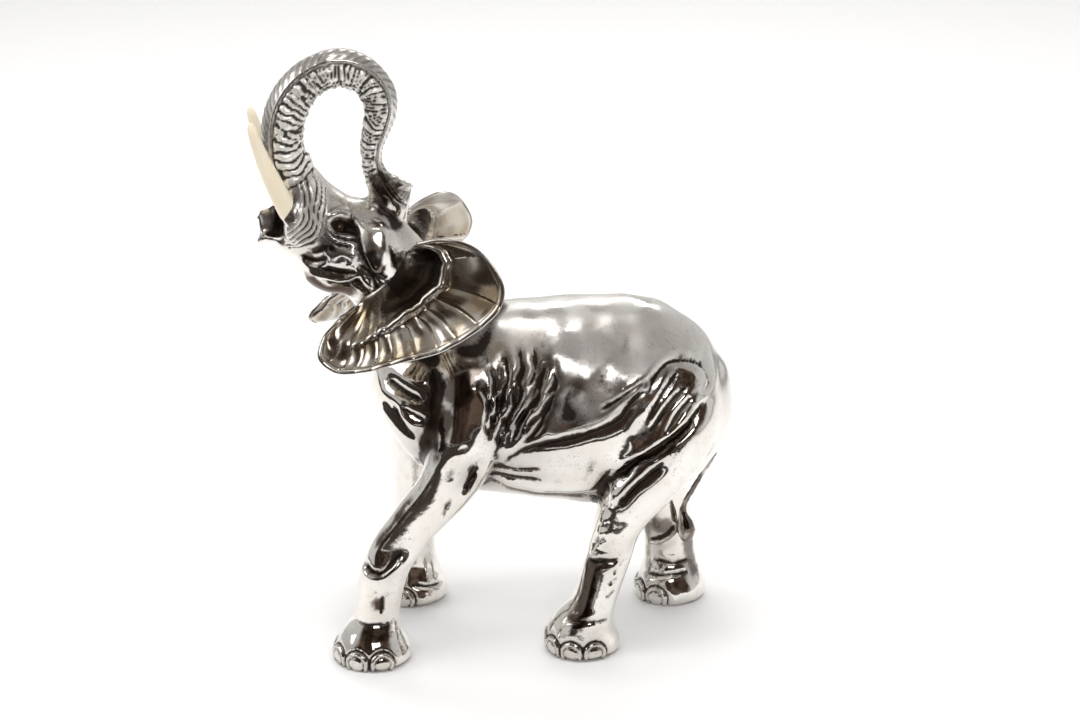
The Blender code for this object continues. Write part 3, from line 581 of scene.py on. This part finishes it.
def trunk_carving(points):
    """Ribbed band on the outer side of the trunk, a groove beside it and wrinkles round the rest.

    Gives the height, the share of trunk skin, the stripes on the band, the band and the wrinkles."""
    path = spline(TRUNK, 280)
    centre = path[:, :3]
    along, across, out = path_frames(centre)
    length = np.concatenate(([0.0], np.cumsum(np.linalg.norm(np.diff(centre, axis=0), axis=1))))
    near = np.flatnonzero((points[:, 2] > 222) & (points[:, 0] < -34))
    apart = ((points[near, None, :] - centre) ** 2).sum(axis=2)
    closest = apart.argmin(axis=1)
    gap = points[near] - centre[closest]
    radius = (path[closest, 3] + path[closest, 4]) / 2
    place = length[closest] + (gap * along[closest]).sum(axis=1)
    turn = np.arctan2((gap * across[closest]).sum(axis=1), (gap * out[closest]).sum(axis=1))
    inside = np.sqrt(apart[np.arange(len(near)), closest]) < 1.45 * radius
    wobble = ripple(points[near], 5.0, 21)
    beyond = (np.abs(turn) - BAND_HALF_TURN) * radius
    start = np.clip((place - 42) / 12, 0, 1)
    band = start * np.clip(-beyond / 0.8, 0, 1)
    hatching = np.cos(2 * math.pi * (place + 0.6 * np.abs(turn) * radius) / BAND_PITCH)
    height = 0.1 * band * hatching
    crown = np.exp(-((place - 108) / 26) ** 2)
    ditch = np.where(beyond > 1.6, 0.7 + 1.1 * crown * (1 + 0.5 * wobble).clip(0.2, 2), 0.7)
    height += start * (0.4 * np.exp(-(beyond / 0.9) ** 2) - 1.0 * np.exp(-((beyond - 1.6) / ditch) ** 2))
    spacing = np.interp(place, (40, 90, 115, 150, 185), (4.3, 4.0, 3.4, 3.0, 2.8))
    rings = place / spacing + 0.4 * np.sin(turn * 2.3 + place / 11) + 0.12 * wobble
    coarse = cracked(rings, turn * radius / 34.0 + 7, 5) ** 0.5 - 0.8
    fine = cracked(rings * 2.0 + 0.3 * wobble, turn * radius / 12.0 + 3, 6) ** 0.5 - 0.7
    wrinkles = np.clip((place - 44) / 10, 0, 1) * np.clip((beyond - 2.0) / 1.2, 0, 1)
    wrinkles *= np.clip((190 - place) / 8, 0, 1)
    height += wrinkles * (2.5 * coarse + 0.25 * fine)
    start = start * np.clip((196 - place) / 6, 0, 1)
    stripes = band * (0.5 + 0.5 * hatching)
    full = np.zeros((5, len(points)))
    full[:, near] = np.where(inside, (height, start, stripes, band, wrinkles), 0.0)
    return full


def muzzle_carving(points, normals):
    """Wrinkles that hang down the cheek and bend in a U round the root of the tusk."""
    east = points[:, 0] - MUZZLE_CENTRE[0]
    down = np.minimum(points[:, 2] - MUZZLE_CENTRE[1], 0.0)
    ring = np.hypot(east, down)
    ring = ring + 0.9 * ripple(points, 8.0, 11)
    waves = np.abs(np.sin(math.pi * (ring - 6.5) / 2.5)) ** 0.6 - 0.7
    turn = np.degrees(np.arctan2(-down, east))
    mask = np.clip((ring - 6.0) / 1.5, 0, 1) * np.clip((20.5 - ring) / 2.0, 0, 1)
    mask *= np.clip((118 - turn) / 25, 0, 1) * np.clip((247 - points[:, 2]) / 6, 0, 1)
    mask *= np.clip((np.abs(points[:, 1]) - 5) / 4, 0, 1) * np.clip(east / 2, 0, 1)
    return 1.6 * waves * mask * np.clip(np.abs(normals[:, 1]) * 2, 0, 1)


def eye_carving(points):
    """Deep socket with the ball of the eye in it, under a brow and over two lids."""
    east, up = points[:, 0] - EYE[0], points[:, 2] - EYE[1]
    side = np.abs(points[:, 1]) > 8
    along = east * 0.94 + up * -0.34
    over = up * 0.94 + east * 0.34
    socket = -3.8 * np.exp(-((along / 6.4) ** 2 + (over / 3.6) ** 2) ** 1.5)
    ball = 1.9 * np.sqrt(np.clip(1 - ((along + 0.8) ** 2 + over ** 2) / 2.4 ** 2, 0, 1))
    height = socket + ball
    for drop, rise in ((4.4, 1.1), (7.2, 0.9)):
        bow = over + drop - 0.035 * along ** 2
        lid = np.exp(-(bow / 0.8) ** 2) - 0.7 * np.exp(-((bow + 1.4) / 0.7) ** 2)
        height = height + rise * lid * np.exp(-(along / 7.0) ** 4)
    return np.where(side, height, 0.0)


def leg_shaping(points):
    """Legs dressed square: flat outer faces, and a hind shin that widens down to the foot."""
    shaped = points.copy()
    for side, front, rear, low, high, face in LEG_FACES:
        proud = np.clip(points[:, 1] * side - face, 0, None)
        mask = np.clip((points[:, 2] - low + 4) / 8, 0, 1) * np.clip((high - points[:, 2]) / 10, 0, 1)
        mask *= (points[:, 0] > front) & (points[:, 0] < rear)
        shaped[:, 1] -= side * 0.8 * proud * mask
    shin = np.interp(points[:, 2], SHIN_HEIGHTS, SHIN_SPREAD)
    hind = (points[:, 0] > 28) & (points[:, 0] < 76) & (points[:, 1] < -36)
    shaped[:, 1] -= np.where(hind, shin * np.clip((-36 - points[:, 1]) / 6, 0, 1), 0)
    return shaped


def finer(piece, chosen):
    """Split each chosen face in four."""
    select_only(piece)
    bpy.ops.object.mode_set(mode="EDIT")
    bpy.context.tool_settings.mesh_select_mode = (False, False, True)
    bpy.ops.mesh.select_all(action="DESELECT")
    bpy.ops.object.mode_set(mode="OBJECT")
    piece.data.polygons.foreach_set("select", chosen)
    bpy.ops.object.mode_set(mode="EDIT")
    bpy.ops.mesh.subdivide(number_cuts=1)
    bpy.ops.object.mode_set(mode="OBJECT")


streaks = []
for turn, start, end in RIB_STREAKS:
    lean = np.radians(turn + np.array([-3.0, 2.0, -1.0, 3.0]))
    far = np.linspace(start, end, 4)
    line = [(RIB_PIT[0] + f * math.cos(a), RIB_PIT[1] + f * math.sin(a)) for f, a in zip(far, lean)]
    streaks.append(("crease", 1.4, 1.4, line))
body_cuts = [(-1, -1, row) for row in FLANK_FOLDS + streaks + LEFT_FOLDS]
body_cuts += [(1, 1, row) for row in FLANK_FOLDS + streaks] + [(1, -1, row) for row in RIGHT_LEG_FOLDS]
head_cuts = [(side, side, row) for side in (-1, 1) for row in HEAD_FOLDS]

points = points_of(elephant)
normals = normals_of(elephant)
fold_zone = sum(np.abs(cut(points, normals, row, y_side, facing)) for y_side, facing, row in body_cuts
                if row[0] != "swell")
wanted = (fold_zone > 0.75) | ((points[:, 0] < -52) & (points[:, 2] > 190)) | (points[:, 2] > 228)
for x, y, radius, toe in FEET:
    reach = np.hypot(points[:, 0] - x, points[:, 1] - y)
    wanted |= (points[:, 2] < 12) & (points[:, 2] > 0.8) & (reach < radius * 1.4) & (reach > 12)
corners = [face.vertices[0] for face in elephant.data.polygons]
finer(elephant, wanted[corners])

points = leg_shaping(points_of(elephant))
edges = edges_of(elephant)
points = smoothed(points, edges, 4, np.where(slender(points), 0.3, 0.5))
set_points(elephant, points)
normals = normals_of(elephant)
trunk_height, trunk_skin, trunk_stripes, trunk_band, trunk_wrinkles = trunk_carving(points)
muzzle_height = muzzle_carving(points, normals)
carving = nails(points) + trunk_height + muzzle_height + eye_carving(points)
for y_side, facing, row in body_cuts + head_cuts:
    carving += cut(points, normals, row, y_side, facing)
carving += 0.22 * ripple(points, 16.0, 3)
crown = np.clip((-48 - points[:, 0]) / 6, 0, 1) * np.clip((points[:, 2] - 198) / 6, 0, 1)
crown *= np.clip((points[:, 0] + 67) / 4, 0, 1) * np.clip((232 - points[:, 2]) / 6, 0, 1)
carving += 0.35 * ripple(points, 8.0, 23) * crown
points = points + normals * carving[:, None]
points[points[:, 2] < SOLE_BAND, 2] = 0.0
points = smoothed(points, edges, 1, np.where(points[:, 2] > 1.5, 0.25, 0.0))
set_points(elephant, points)
normals = normals_of(elephant)


# The finish. The silver is polished bright, satin on the back and the head, matt on the wrinkles of
# the trunk, brown where lacquer was left on and where shade and dark reflections are painted in, and
# near black in the hollows. Numbers kept on the points tell the material which it is.
def store(piece, name, values):
    """Keep one number for each point, for the material to read."""
    attribute = piece.data.attributes.new(name, "FLOAT", "POINT")
    attribute.data.foreach_set("value", np.clip(values, 0, 1).astype(np.float32))


def hollowness(piece, fine, broad):
    """How far a point lies below its surroundings, as a share of the given millimetres."""
    points, normals, edges = points_of(piece), normals_of(piece), edges_of(piece)
    full = np.ones(len(points))
    near = ((smoothed(points, edges, 4, full * 0.8) - points) * normals).sum(axis=1) / fine
    far = ((smoothed(points, edges, 40, full * 0.8) - points) * normals).sum(axis=1) / broad
    return smoothed(np.clip(near, 0, 1.2) + np.clip(far, 0, 0.8), edges, 1, full * 0.5)


SILVER_BRIGHT = (0.87, 0.85, 0.815, 1.0)
SILVER_WARM = (0.76, 0.70, 0.62, 1.0)
SILVER_CREAM = (1.0, 0.98, 0.92, 1.0)
# Brown for lacquer left on, and for painted shade and painted dark reflections.
LACQUER_AND_PAINTED_SHADE_BROWN = (0.085, 0.058, 0.044, 1.0)
BRONZE = (0.34, 0.265, 0.175, 1.0)
PATINA = (0.030, 0.020, 0.015, 1.0)
# Zones left brown, in side view: partly lacquer the finisher left on, partly painted shade and painted
# dark reflections on the jaw, eye, throat, shoulder, ribs and legs. Rows are side (0 for both), half width,
# strength and line.
LACQUER_AND_PAINTED_SHADE_ZONES = [
    (0, 4.6, 1.0, [(-93, 199), (-90, 191), (-84, 187), (-73, 187), (-64, 191)]),
    (0, 3.6, 0.95, [(-93, 207), (-88, 201)]),
    (0, 2.2, 0.95, [(-90, 207), (-83, 211), (-76, 212)]),
    (0, 5.0, 1.0, [(-78, 223), (-69, 219)]),
    (0, 4.0, 0.9, [(-62, 213), (-58, 203), (-54, 198)]),
    (0, 7.0, 0.9, [(-70, 183), (-52, 180), (-40, 172)]),
    (0, 6.0, 0.5, [(-97, 246), (-90, 236), (-84, 228)]),
    (0, 5.5, 0.95, [(-58, 247), (-53, 238), (-47, 230)]),
    (0, 8.0, 0.9, [(-8, 160), (-18, 147), (-26, 133)]),
    (0, 4.0, 0.7, [(12, 152), (9, 137), (4, 117)]),
    (0, 3.4, 0.7, [(23, 152), (16, 137), (7, 114)]),
    (0, 3.0, 0.6, [(34, 145), (23, 130), (10, 115)]),
    (0, 2.6, 0.6, [(49, 131), (64, 140), (77, 146), (94, 150)]),
    (0, 2.6, 0.85, [(61, 102), (75, 107), (84, 112), (98, 124)]),
    (0, 3.2, 0.8, [(-3, 90), (19, 82), (52, 81)]),
    (-1, 6.0, 0.95, [(-24, 137), (-31, 118), (-36, 103)]),
    (-1, 2.8, 0.95, [(-35, 106), (-41, 94), (-49, 82), (-59, 68), (-67, 58)]),
    (-1, 6.0, 0.95, [(47, 57), (43, 39), (38, 22), (32, 15)]),
    (-1, 2.2, 0.8, [(-68, 54), (-61, 50), (-51, 55)]),
    (-1, 3.2, 1.0, [(-61, 38), (-61, 29)]),
    (-1, 4.0, 0.6, [(-72, 18), (-52, 18)]),
    (1, 4.5, 0.8, [(82, 50), (80, 30), (80, 9)]),
    (1, 4.0, 0.8, [(104, 46), (104, 30), (109, 11)]),
    (1, 4.0, 0.8, [(-40, 44), (-41, 20)]),
    (1, 5.0, 0.8, [(82, 44), (90, 42), (97, 44)]),
]


def lacquer_and_painted_shade_of(points, normals):
    """Share of brown on the silver, place by place, its edges a little ragged: lacquer left on, and painted
    shade and painted dark reflections.
    """
    lacquer_and_painted_shade = np.zeros(len(points))
    ragged = 0.3 * ripple(points, 5.0, 15) + 0.2 * ripple(points, 2.0, 16)
    for side, half, strength, line in LACQUER_AND_PAINTED_SHADE_ZONES:
        for y_side in ((-1, 1) if side == 0 else (side,)):
            facing = -1 if side == 1 else y_side
            wash = cut(points, normals, ("wash", half, 1.0, line), y_side, facing)
            lacquer_and_painted_shade = np.maximum(lacquer_and_painted_shade, strength * np.clip((wash - 0.45 + 0.25 * ragged) * 3.0, 0, 1))
    return lacquer_and_painted_shade


def read_value(tree, name):
    """The number that store keeps under the given name."""
    node = tree.nodes.new("ShaderNodeAttribute")
    node.attribute_name = name
    return node.outputs["Fac"]


def combine(tree, operation, *values):
    """Sum, product or the like of values, each given as a number or as the socket it comes from."""
    node = tree.nodes.new("ShaderNodeMath")
    node.operation = operation
    for socket, value in zip(node.inputs, values):
        if isinstance(value, float):
            socket.default_value = value
        else:
            tree.links.new(value, socket)
    return node.outputs[0]


def silver_material(name, warmth, lacquer_and_shade_tone):
    """Silver skin that reads the patina, satin and matte values of the points, and their brown of lacquer
    with painted shade.
    """
    material, tree, shader = new_material(name, 0.1, 1.0)
    matte = read_value(tree, "matte")
    tree.links.new(remap(tree, matte, 0.0, 1.0, 1.0, 0.38), shader.inputs["Metallic"])
    cloud = remap(tree, add_noise(tree, 22.0), 0.4, 0.7, 0.0, warmth)
    mottle = remap(tree, add_noise(tree, 4.5, detail=5.0), 0.5, 0.75, 0.0, 0.5)
    pits = remap(tree, add_noise(tree, 0.9, detail=2.0), 0.60, 0.78, 0.0, 0.9)
    clusters = remap(tree, add_noise(tree, 9.0, detail=3.0), 0.48, 0.62, 0.0, 1.0)
    metal = mix_colour(tree, cloud, SILVER_BRIGHT, SILVER_WARM)
    metal = mix_colour(tree, mottle, metal, SILVER_WARM)
    metal = mix_colour(tree, matte, metal, SILVER_CREAM)
    metal = mix_colour(tree, read_value(tree, "lacquer_and_painted_shade"), metal, lacquer_and_shade_tone)
    metal = mix_colour(tree, combine(tree, "MULTIPLY", pits, clusters), metal, PATINA)
    broken = combine(tree, "MULTIPLY_ADD", add_noise(tree, 1.3, detail=5.0), 0.5, read_value(tree, "patina"))
    dark = remap(tree, broken, 0.45, 1.0, 0.0, 0.96)
    tree.links.new(mix_colour(tree, dark, metal, PATINA), shader.inputs["Base Color"])
    sheen = remap(tree, add_noise(tree, 6.0), 0.3, 0.8, 0.05, 0.12)
    polish = combine(tree, "MULTIPLY_ADD", read_value(tree, "satin"), 0.40, sheen)
    tree.links.new(combine(tree, "MULTIPLY_ADD", dark, 0.3, polish), shader.inputs["Roughness"])
    add_bump(tree, shader, add_noise(tree, 3.2, detail=4.0), 0.06)
    return material


body_silver = silver_material("silver_body", 0.5, LACQUER_AND_PAINTED_SHADE_BROWN)
patina = 0.9 * hollowness(elephant, 0.22, 1.1) * (1 - 0.15 * trunk_skin + 0.45 * trunk_wrinkles)
store(elephant, "patina", patina + 0.5 * trunk_stripes)
halo = smoothed(np.clip(patina, 0, 1), edges, 50, np.full(len(points), 0.8))
hip = np.clip((points[:, 0] - 64) / 8, 0, 1) * np.clip((points[:, 2] - 112) / 6, 0, 1)
halo *= 1 - 0.75 * hip
low = np.interp(points[:, 0], (-30, 0, 30, 60, 90, 125), (150, 140, 116, 122, 148, 140))
top = np.clip((points[:, 2] - low) / 14, 0, 1) * np.clip((points[:, 0] + 30) / 20, 0, 1)
back = top * np.clip(0.85 + 0.3 * ripple(points, 14.0, 8), 0, 1)
head = 0.45 * np.clip((-48 - points[:, 0]) / 12, 0, 1) * np.clip((points[:, 2] - 196) / 12, 0, 1)
store(elephant, "satin", np.maximum(np.maximum(0.75 * back, head), 0.5 * trunk_skin))
# Brown on the body: lacquer, painted shade and painted dark reflections in the listed zones, brown stains
# round the folds, and the tail darkened.
lacquer_and_painted_shade = np.maximum(lacquer_and_painted_shade_of(points, normals), 1.1 * halo * (1 - 0.8 * trunk_skin) - 0.05)
lacquer_and_painted_shade = np.maximum(lacquer_and_painted_shade, 0.9 * on_tail(points) * np.clip(0.9 + 0.3 * ripple(points, 4.0, 27), 0, 1))
store(elephant, "lacquer_and_painted_shade", np.maximum(lacquer_and_painted_shade, 0.2 * trunk_band))
muzzle_zone = smoothed(np.abs(muzzle_height), edges, 6, np.full(len(points), 0.8))
matte = np.maximum(0.9 * trunk_wrinkles, np.clip(3.0 * muzzle_zone, 0, 0.85))
store(elephant, "matte", matte)
elephant.data.materials.clear()
elephant.data.materials.append(body_silver)
elephant.data.shade_smooth()
set_points(elephant, points_of(elephant) - ORIGIN)
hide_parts("elephant_body")
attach(elephant, "root")

# The ears. Broad thin dishes cast with the head and silvered like it, but left bronze brown inside:
# a deep hollow by the root, a bright rolled ridge round it, and flutes that fan out from the ridge
# to a rolled rim. Rows are x, y, z of the left ear, and the far ear's lobe has rows of its own.
EAR_RIM = [
    (-37.6, -25.5, 214.6), (-27.1, -31, 217.8), (-17.6, -35.5, 218.3),
    (-8.4, -40.5, 214.9), (-0.7, -45.5, 206.6), (2.7, -49.5, 198.0), (0.7, -52.5, 189.3),
    (-8.9, -54.5, 180.1), (-29.6, -53.5, 167.7), (-50.6, -50.5, 161.3), (-66.0, -46.5, 156.3),
    (-80.0, -42, 155.3), (-87.0, -38.5, 161.0), (-85.0, -35, 170.0), (-76.6, -31, 178.6),
]
FAR_LOBE = [(-86.5, -38.5, 157.0), (-82.0, -35, 167.0), (-73.5, -31, 172.5)]
EAR_ROOT = [
    (-43.8, -20, 208.0), (-45.5, -21, 203.0), (-49.0, -22, 198.0), (-54.0, -22.5, 193.0),
    (-59.0, -22.5, 189.0), (-63.5, -22, 186.0),
]
# Place of the ridge across the ear, as a share from root to rim, from the top round to the lobe.
EAR_RIDGE = [0.72, 0.66, 0.54, 0.46, 0.42, 0.42, 0.45, 0.50, 0.58, 0.66, 0.70, 0.72]
# Grooves between the flutes, as the share of the way round where each meets the rim.
EAR_GROOVES = [0.0, 0.20, 0.335, 0.41, 0.475, 0.535, 0.60, 0.67, 0.72, 0.77, 0.815, 0.86, 0.92, 1.0]
EAR_SWELL = [0.3, 0.6, 2.3, 1.7, 2.4, 1.9, 2.6, 1.6, 1.6, 1.3, 1.2, 0.9, 0.5]
EAR_THICKNESS = 2.2
EAR_ACROSS = 80
EAR_ROUND = 300
RIGHT_EAR_SPREAD = math.radians(14.0)
EAR_PIVOT = (-50.0, 22.0)
FACE_EVENING = 600


def proudness(piece):
    """How far a point stands proud of its surroundings, from nothing to about half."""
    points, normals, edges = points_of(piece), normals_of(piece), edges_of(piece)
    full = np.ones(len(points))
    proud = ((points - smoothed(points, edges, 12, full * 0.8)) * normals).sum(axis=1)
    return np.clip(proud / 0.5, 0, 0.5)


ear_silver = silver_material("silver_ears", 0.5, BRONZE)
pieces = tusks + [elephant]
for name, side in (("ear_left_cast", -1), ("ear_right_cast", 1)):
    bpy.ops.object.select_all(action="DESELECT")
    bpy.ops.mesh.primitive_grid_add(x_subdivisions=EAR_ACROSS, y_subdivisions=EAR_ROUND, size=1.0)
    ear = bpy.context.active_object
    ear.name = name
    share = points_of(ear) * MM + 0.5
    column = np.rint(share[:, 0] * EAR_ACROSS).astype(int)
    row = np.rint(share[:, 1] * EAR_ROUND).astype(int)
    u, v = np.meshgrid(np.linspace(0, 1, EAR_ACROSS + 1), np.linspace(0, 1, EAR_ROUND + 1))
    rim_rows = EAR_RIM if side < 0 else EAR_RIM[:-3] + FAR_LOBE
    rim, root = spline(rim_rows, EAR_ROUND + 1), spline(EAR_ROOT, EAR_ROUND + 1)
    ridge = np.interp(v, np.linspace(0, 1, len(EAR_RIDGE)), EAR_RIDGE)
    sheet = root[:, None, :] + (rim - root)[:, None, :] * u[:, :, None]
    face = np.cross(np.gradient(sheet, axis=1), np.gradient(sheet, axis=0)).sum(axis=1)
    face *= np.sign(-face[:, 1].sum())
    for turn in range(FACE_EVENING):
        face[1:-1] = (face[:-2] + 2 * face[1:-1] + face[2:]) / 4
    face[0], face[-1] = face[1], face[-2]
    face /= np.linalg.norm(face, axis=1)[:, None]
    spread = np.clip(u / 0.4, 0.0, 1.0)[:, :, None]
    normal = face.mean(axis=0) * (1 - spread) + face[:, None, :] * spread
    normal /= np.linalg.norm(normal, axis=2)[:, :, None]
    reach = np.sin(math.pi / 2 * np.clip(np.minimum(v, 1.0 - v) / 0.2, 0.0, 1.0)) ** 2
    outer = np.clip((u - ridge) / (1.0 - ridge), 0.0, 1.0)
    ridge = ridge + 0.010 * np.sin(v * 41.0) + 0.004 * np.sin(v * 97.0)
    inner = np.clip(u / ridge, 0.0, 1.0)
    rolled = np.clip(v / 0.1, 0, 1) * np.clip((0.84 - v) / 0.28, 0, 1)
    shape = -5.6 * np.sin(math.pi * inner) ** 2 * reach * (0.25 + 0.75 * rolled)
    shape += 2.2 * np.exp(-np.abs((u - ridge) / 0.032) ** 1.6) * rolled
    veins = ripple(np.stack([inner * 9, v * 5, u * 0], axis=2).reshape(-1, 3), 1.6, 41).reshape(u.shape)
    shape += 0.45 * veins * np.clip(inner * 4, 0, 1) * np.clip((1 - inner) * 6, 0, 1) * rolled
    shape -= 1.8 * np.sin(math.pi * outer) * reach
    phase = np.interp(v + 0.008 * np.sin(outer * 4), EAR_GROOVES, np.arange(len(EAR_GROOVES)))
    swell = np.array(EAR_SWELL)[np.clip(phase.astype(int), 0, len(EAR_SWELL) - 1)]
    flute = swell * (np.sin(math.pi * (phase % 1.0)) ** 0.6 - 0.7)
    fan = np.where(v > 0.68, np.clip((u - 0.22) * 2.5, 0, 1), np.clip(outer * 3.5, 0, 1))
    shape += flute * fan * np.clip((1 - u) * 9, 0.3, 1) * np.clip(reach + 0.3, 0, 1)
    shape += 0.9 * np.exp(-((u - 0.975) / 0.02) ** 2)
    shape += 0.35 * ripple(sheet.reshape(-1, 3), 11.0, 31).reshape(u.shape) * np.clip(u * 3, 0, 1)
    sheet = sheet + normal * shape[:, :, None]
    sheet[:, 0, 1] += 7.0
    # Painted shade: the whole hollow inside the ridge is darkened towards near black, broken by the veins.
    painted_bowl_shade = np.clip((ridge - u) / 0.05, 0, 1) * rolled * (0.85 + 0.25 * veins)
    flat = sheet[row, column]
    flat[:, 1] *= -side
    if side > 0:
        east, north = flat[:, 0] - EAR_PIVOT[0], flat[:, 1] - EAR_PIVOT[1]
        cosine, sine = math.cos(RIGHT_EAR_SPREAD), math.sin(RIGHT_EAR_SPREAD)
        flat[:, 0] = EAR_PIVOT[0] + east * cosine - north * sine
        flat[:, 1] = EAR_PIVOT[1] + east * sine + north * cosine
    set_points(ear, flat)
    apply_modifier(ear, "SOLIDIFY", thickness=EAR_THICKNESS * MM, offset=0.0, use_even_offset=False)
    face_out(ear)
    # Patina in the hollows, with the painted shade of the bowl added to it.
    store(ear, "patina", 0.8 * hollowness(ear, 0.25, 1.2) + np.tile(painted_bowl_shade[row, column], 2))
    store(ear, "satin", np.full(len(ear.data.vertices), 0.34))
    store(ear, "lacquer_and_painted_shade", 0.8 + 0.2 * ripple(points_of(ear), 12.0, 17) - 0.9 * proudness(ear))
    ear.data.materials.append(ear_silver)
    ear.data.shade_smooth()
    set_points(ear, points_of(ear) - ORIGIN)
    pieces.append(ear)
    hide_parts("elephant_body")
    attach(ear, "root")

# Placing. Finished, the whole stands centred on the origin with its soles on the floor, as the part
# does, and is brought just inside the part's length.
FIT_SLACK = 0.1
everything = np.concatenate([points_of(piece) for piece in pieces])
SHIFT = (everything.min(axis=0) + everything.max(axis=0)) / 2
SHIFT[2] = everything[:, 2].min()
FIT = (cad_box[1][0] - cad_box[0][0]) / MM - FIT_SLACK
FIT /= everything[:, 0].max() - everything[:, 0].min()
for piece in pieces:
    set_points(piece, (points_of(piece) - SHIFT) * FIT)

# The studio. A pale sweep of floor, soft boxes overhead, pale walls behind and beside, and on the
# camera's side a dark and a pale card that only the polished metal sees.
AIM = (24.1, 0.0, 142.5)
CAMERA_TURN = math.radians(-5.0)
CAMERA_RISE = math.radians(20.0)
CAMERA_DISTANCE = 1.7
CAMERA_LENS = 113.33
FLOOR_PALE = (0.93, 0.93, 0.93, 1.0)
CARD_BROWN = (0.018, 0.011, 0.008, 1.0)
WALL_LOW = (0.68, 0.68, 0.67, 1.0)
WALL_HIGH = (0.36, 0.35, 0.34, 1.0)
ROOM_DARK = (0.030, 0.018, 0.014, 1.0)
ROOM_BROWN = (0.12, 0.085, 0.065, 1.0)
BACKDROP = (0.80, 0.80, 0.80, 1.0)

bpy.ops.object.select_all(action="DESELECT")
bpy.ops.mesh.primitive_plane_add(size=16.0, location=(0, 0, -0.0002))
floor = bpy.context.active_object
floor.name = "floor"
paper, tree, shader = new_material("floor_paper", 0.6, 0.0)
shader.inputs["Base Color"].default_value = FLOOR_PALE
shader.inputs["Specular IOR Level"].default_value = 0.2
floor.data.materials.append(paper)

for name, place, turn, size, tone in (
        ("dark_card", (-1.338, -1.816, 0.002), math.radians(-42), (6.0, 4.0, 1.0), CARD_BROWN),
        ("pale_card", (-0.05, -0.80, 0.004), 0.0, (0.32, 0.38, 1.0), FLOOR_PALE)):
    bpy.ops.object.select_all(action="DESELECT")
    bpy.ops.mesh.primitive_plane_add(size=1.0, location=place, rotation=(0.0, 0.0, turn))
    card = bpy.context.active_object
    card.name = name
    card.scale = size
    felt, tree, shader = new_material(name + "_felt", 0.9, 0.0)
    shader.inputs["Base Color"].default_value = tone
    card.data.materials.append(felt)
    card.visible_camera = False
    card.visible_shadow = False
    card.visible_diffuse = False

for name, place, turn, size, power, mirrored in (
        ("box_top", (0.1, -0.25, 1.5), (0, 0, 0), (1.2, 0.45), 9.5, False),
        ("box_back", (0.2, 1.3, 1.4), (-45, 0, 0), (2.2, 0.6), 12.0, False),
        ("box_left", (-1.6, 0.1, 1.3), (0, -52, 0), (1.0, 1.2), 7.5, True),
        ("box_front", (-0.5, -1.5, 0.9), (62, 0, -17), (0.8, 0.8), 4.5, False),
        ("strip_front", (0.17, -1.24, 1.2), (49, 0, 0), (0.5, 0.6), 5.0, True),
        ("glint_top", (-0.1, 0.22, 1.5), (0, 0, -20), (0.5, 0.2), 2.2, True),
        ("strip_back", (0.2, 1.33, 1.0), (-58, 0, 0), (1.3, 0.3), 3.2, True)):
    lamp = bpy.data.lights.new(name, "AREA")
    lamp.shape = "RECTANGLE"
    lamp.size, lamp.size_y = size
    lamp.energy = power
    stand = bpy.data.objects.new(name, lamp)
    stand.location = place
    stand.rotation_euler = [math.radians(angle) for angle in turn]
    stand.visible_glossy = mirrored
    bpy.context.scene.collection.objects.link(stand)

world = bpy.context.scene.world or bpy.data.worlds.new("studio")
bpy.context.scene.world = world
world.use_nodes = True
tree = world.node_tree
tree.nodes.clear()
where = tree.nodes.new("ShaderNodeTexCoord")
split = tree.nodes.new("ShaderNodeSeparateXYZ")
tree.links.new(where.outputs["Generated"], split.inputs[0])
ahead = combine(tree, "MULTIPLY", split.outputs["Y"], -1.0)
aside = combine(tree, "ABSOLUTE", combine(tree, "ARCTAN2", split.outputs["X"], ahead))
toward = remap(tree, aside, math.radians(48), math.radians(60), 1.0, 0.0)
low = remap(tree, split.outputs["Z"], 0.80, 0.92, 1.0, 0.0)
room = combine(tree, "MULTIPLY", toward, low)
blotch = tree.nodes.new("ShaderNodeTexNoise")
blotch.inputs["Scale"].default_value = 3.0
tree.links.new(where.outputs["Generated"], blotch.inputs["Vector"])
patches = remap(tree, blotch.outputs["Fac"], 0.45, 0.7, 0.0, 1.0)
height = remap(tree, split.outputs["Z"], 0.0, 0.9, 0.0, 1.0)
dark = mix_colour(tree, patches, ROOM_DARK, ROOM_BROWN)
walls = mix_colour(tree, height, WALL_LOW, WALL_HIGH)
mirrored = mix_colour(tree, room, walls, dark)
rays = tree.nodes.new("ShaderNodeLightPath")
sky = tree.nodes.new("ShaderNodeBackground")
seen = mix_colour(tree, rays.outputs["Is Camera Ray"], mirrored, BACKDROP)
tree.links.new(seen, sky.inputs["Color"])
out = tree.nodes.new("ShaderNodeOutputWorld")
tree.links.new(sky.outputs[0], out.inputs["Surface"])

aim = (np.array(AIM) - ORIGIN - SHIFT) * MM
level = math.cos(CAMERA_RISE)
back = np.array([math.sin(CAMERA_TURN) * level, -math.cos(CAMERA_TURN) * level, math.sin(CAMERA_RISE)])
camera = bpy.data.objects.new("camera", bpy.data.cameras.new("camera"))
camera.data.lens = CAMERA_LENS
camera.location = aim + back * CAMERA_DISTANCE
camera.rotation_euler = (math.pi / 2 - CAMERA_RISE, 0.0, CAMERA_TURN)
camera.data.clip_end = 50.0
bpy.context.scene.collection.objects.link(camera)
bpy.context.scene.camera = camera
bpy.context.scene.view_settings.view_transform = "Standard"
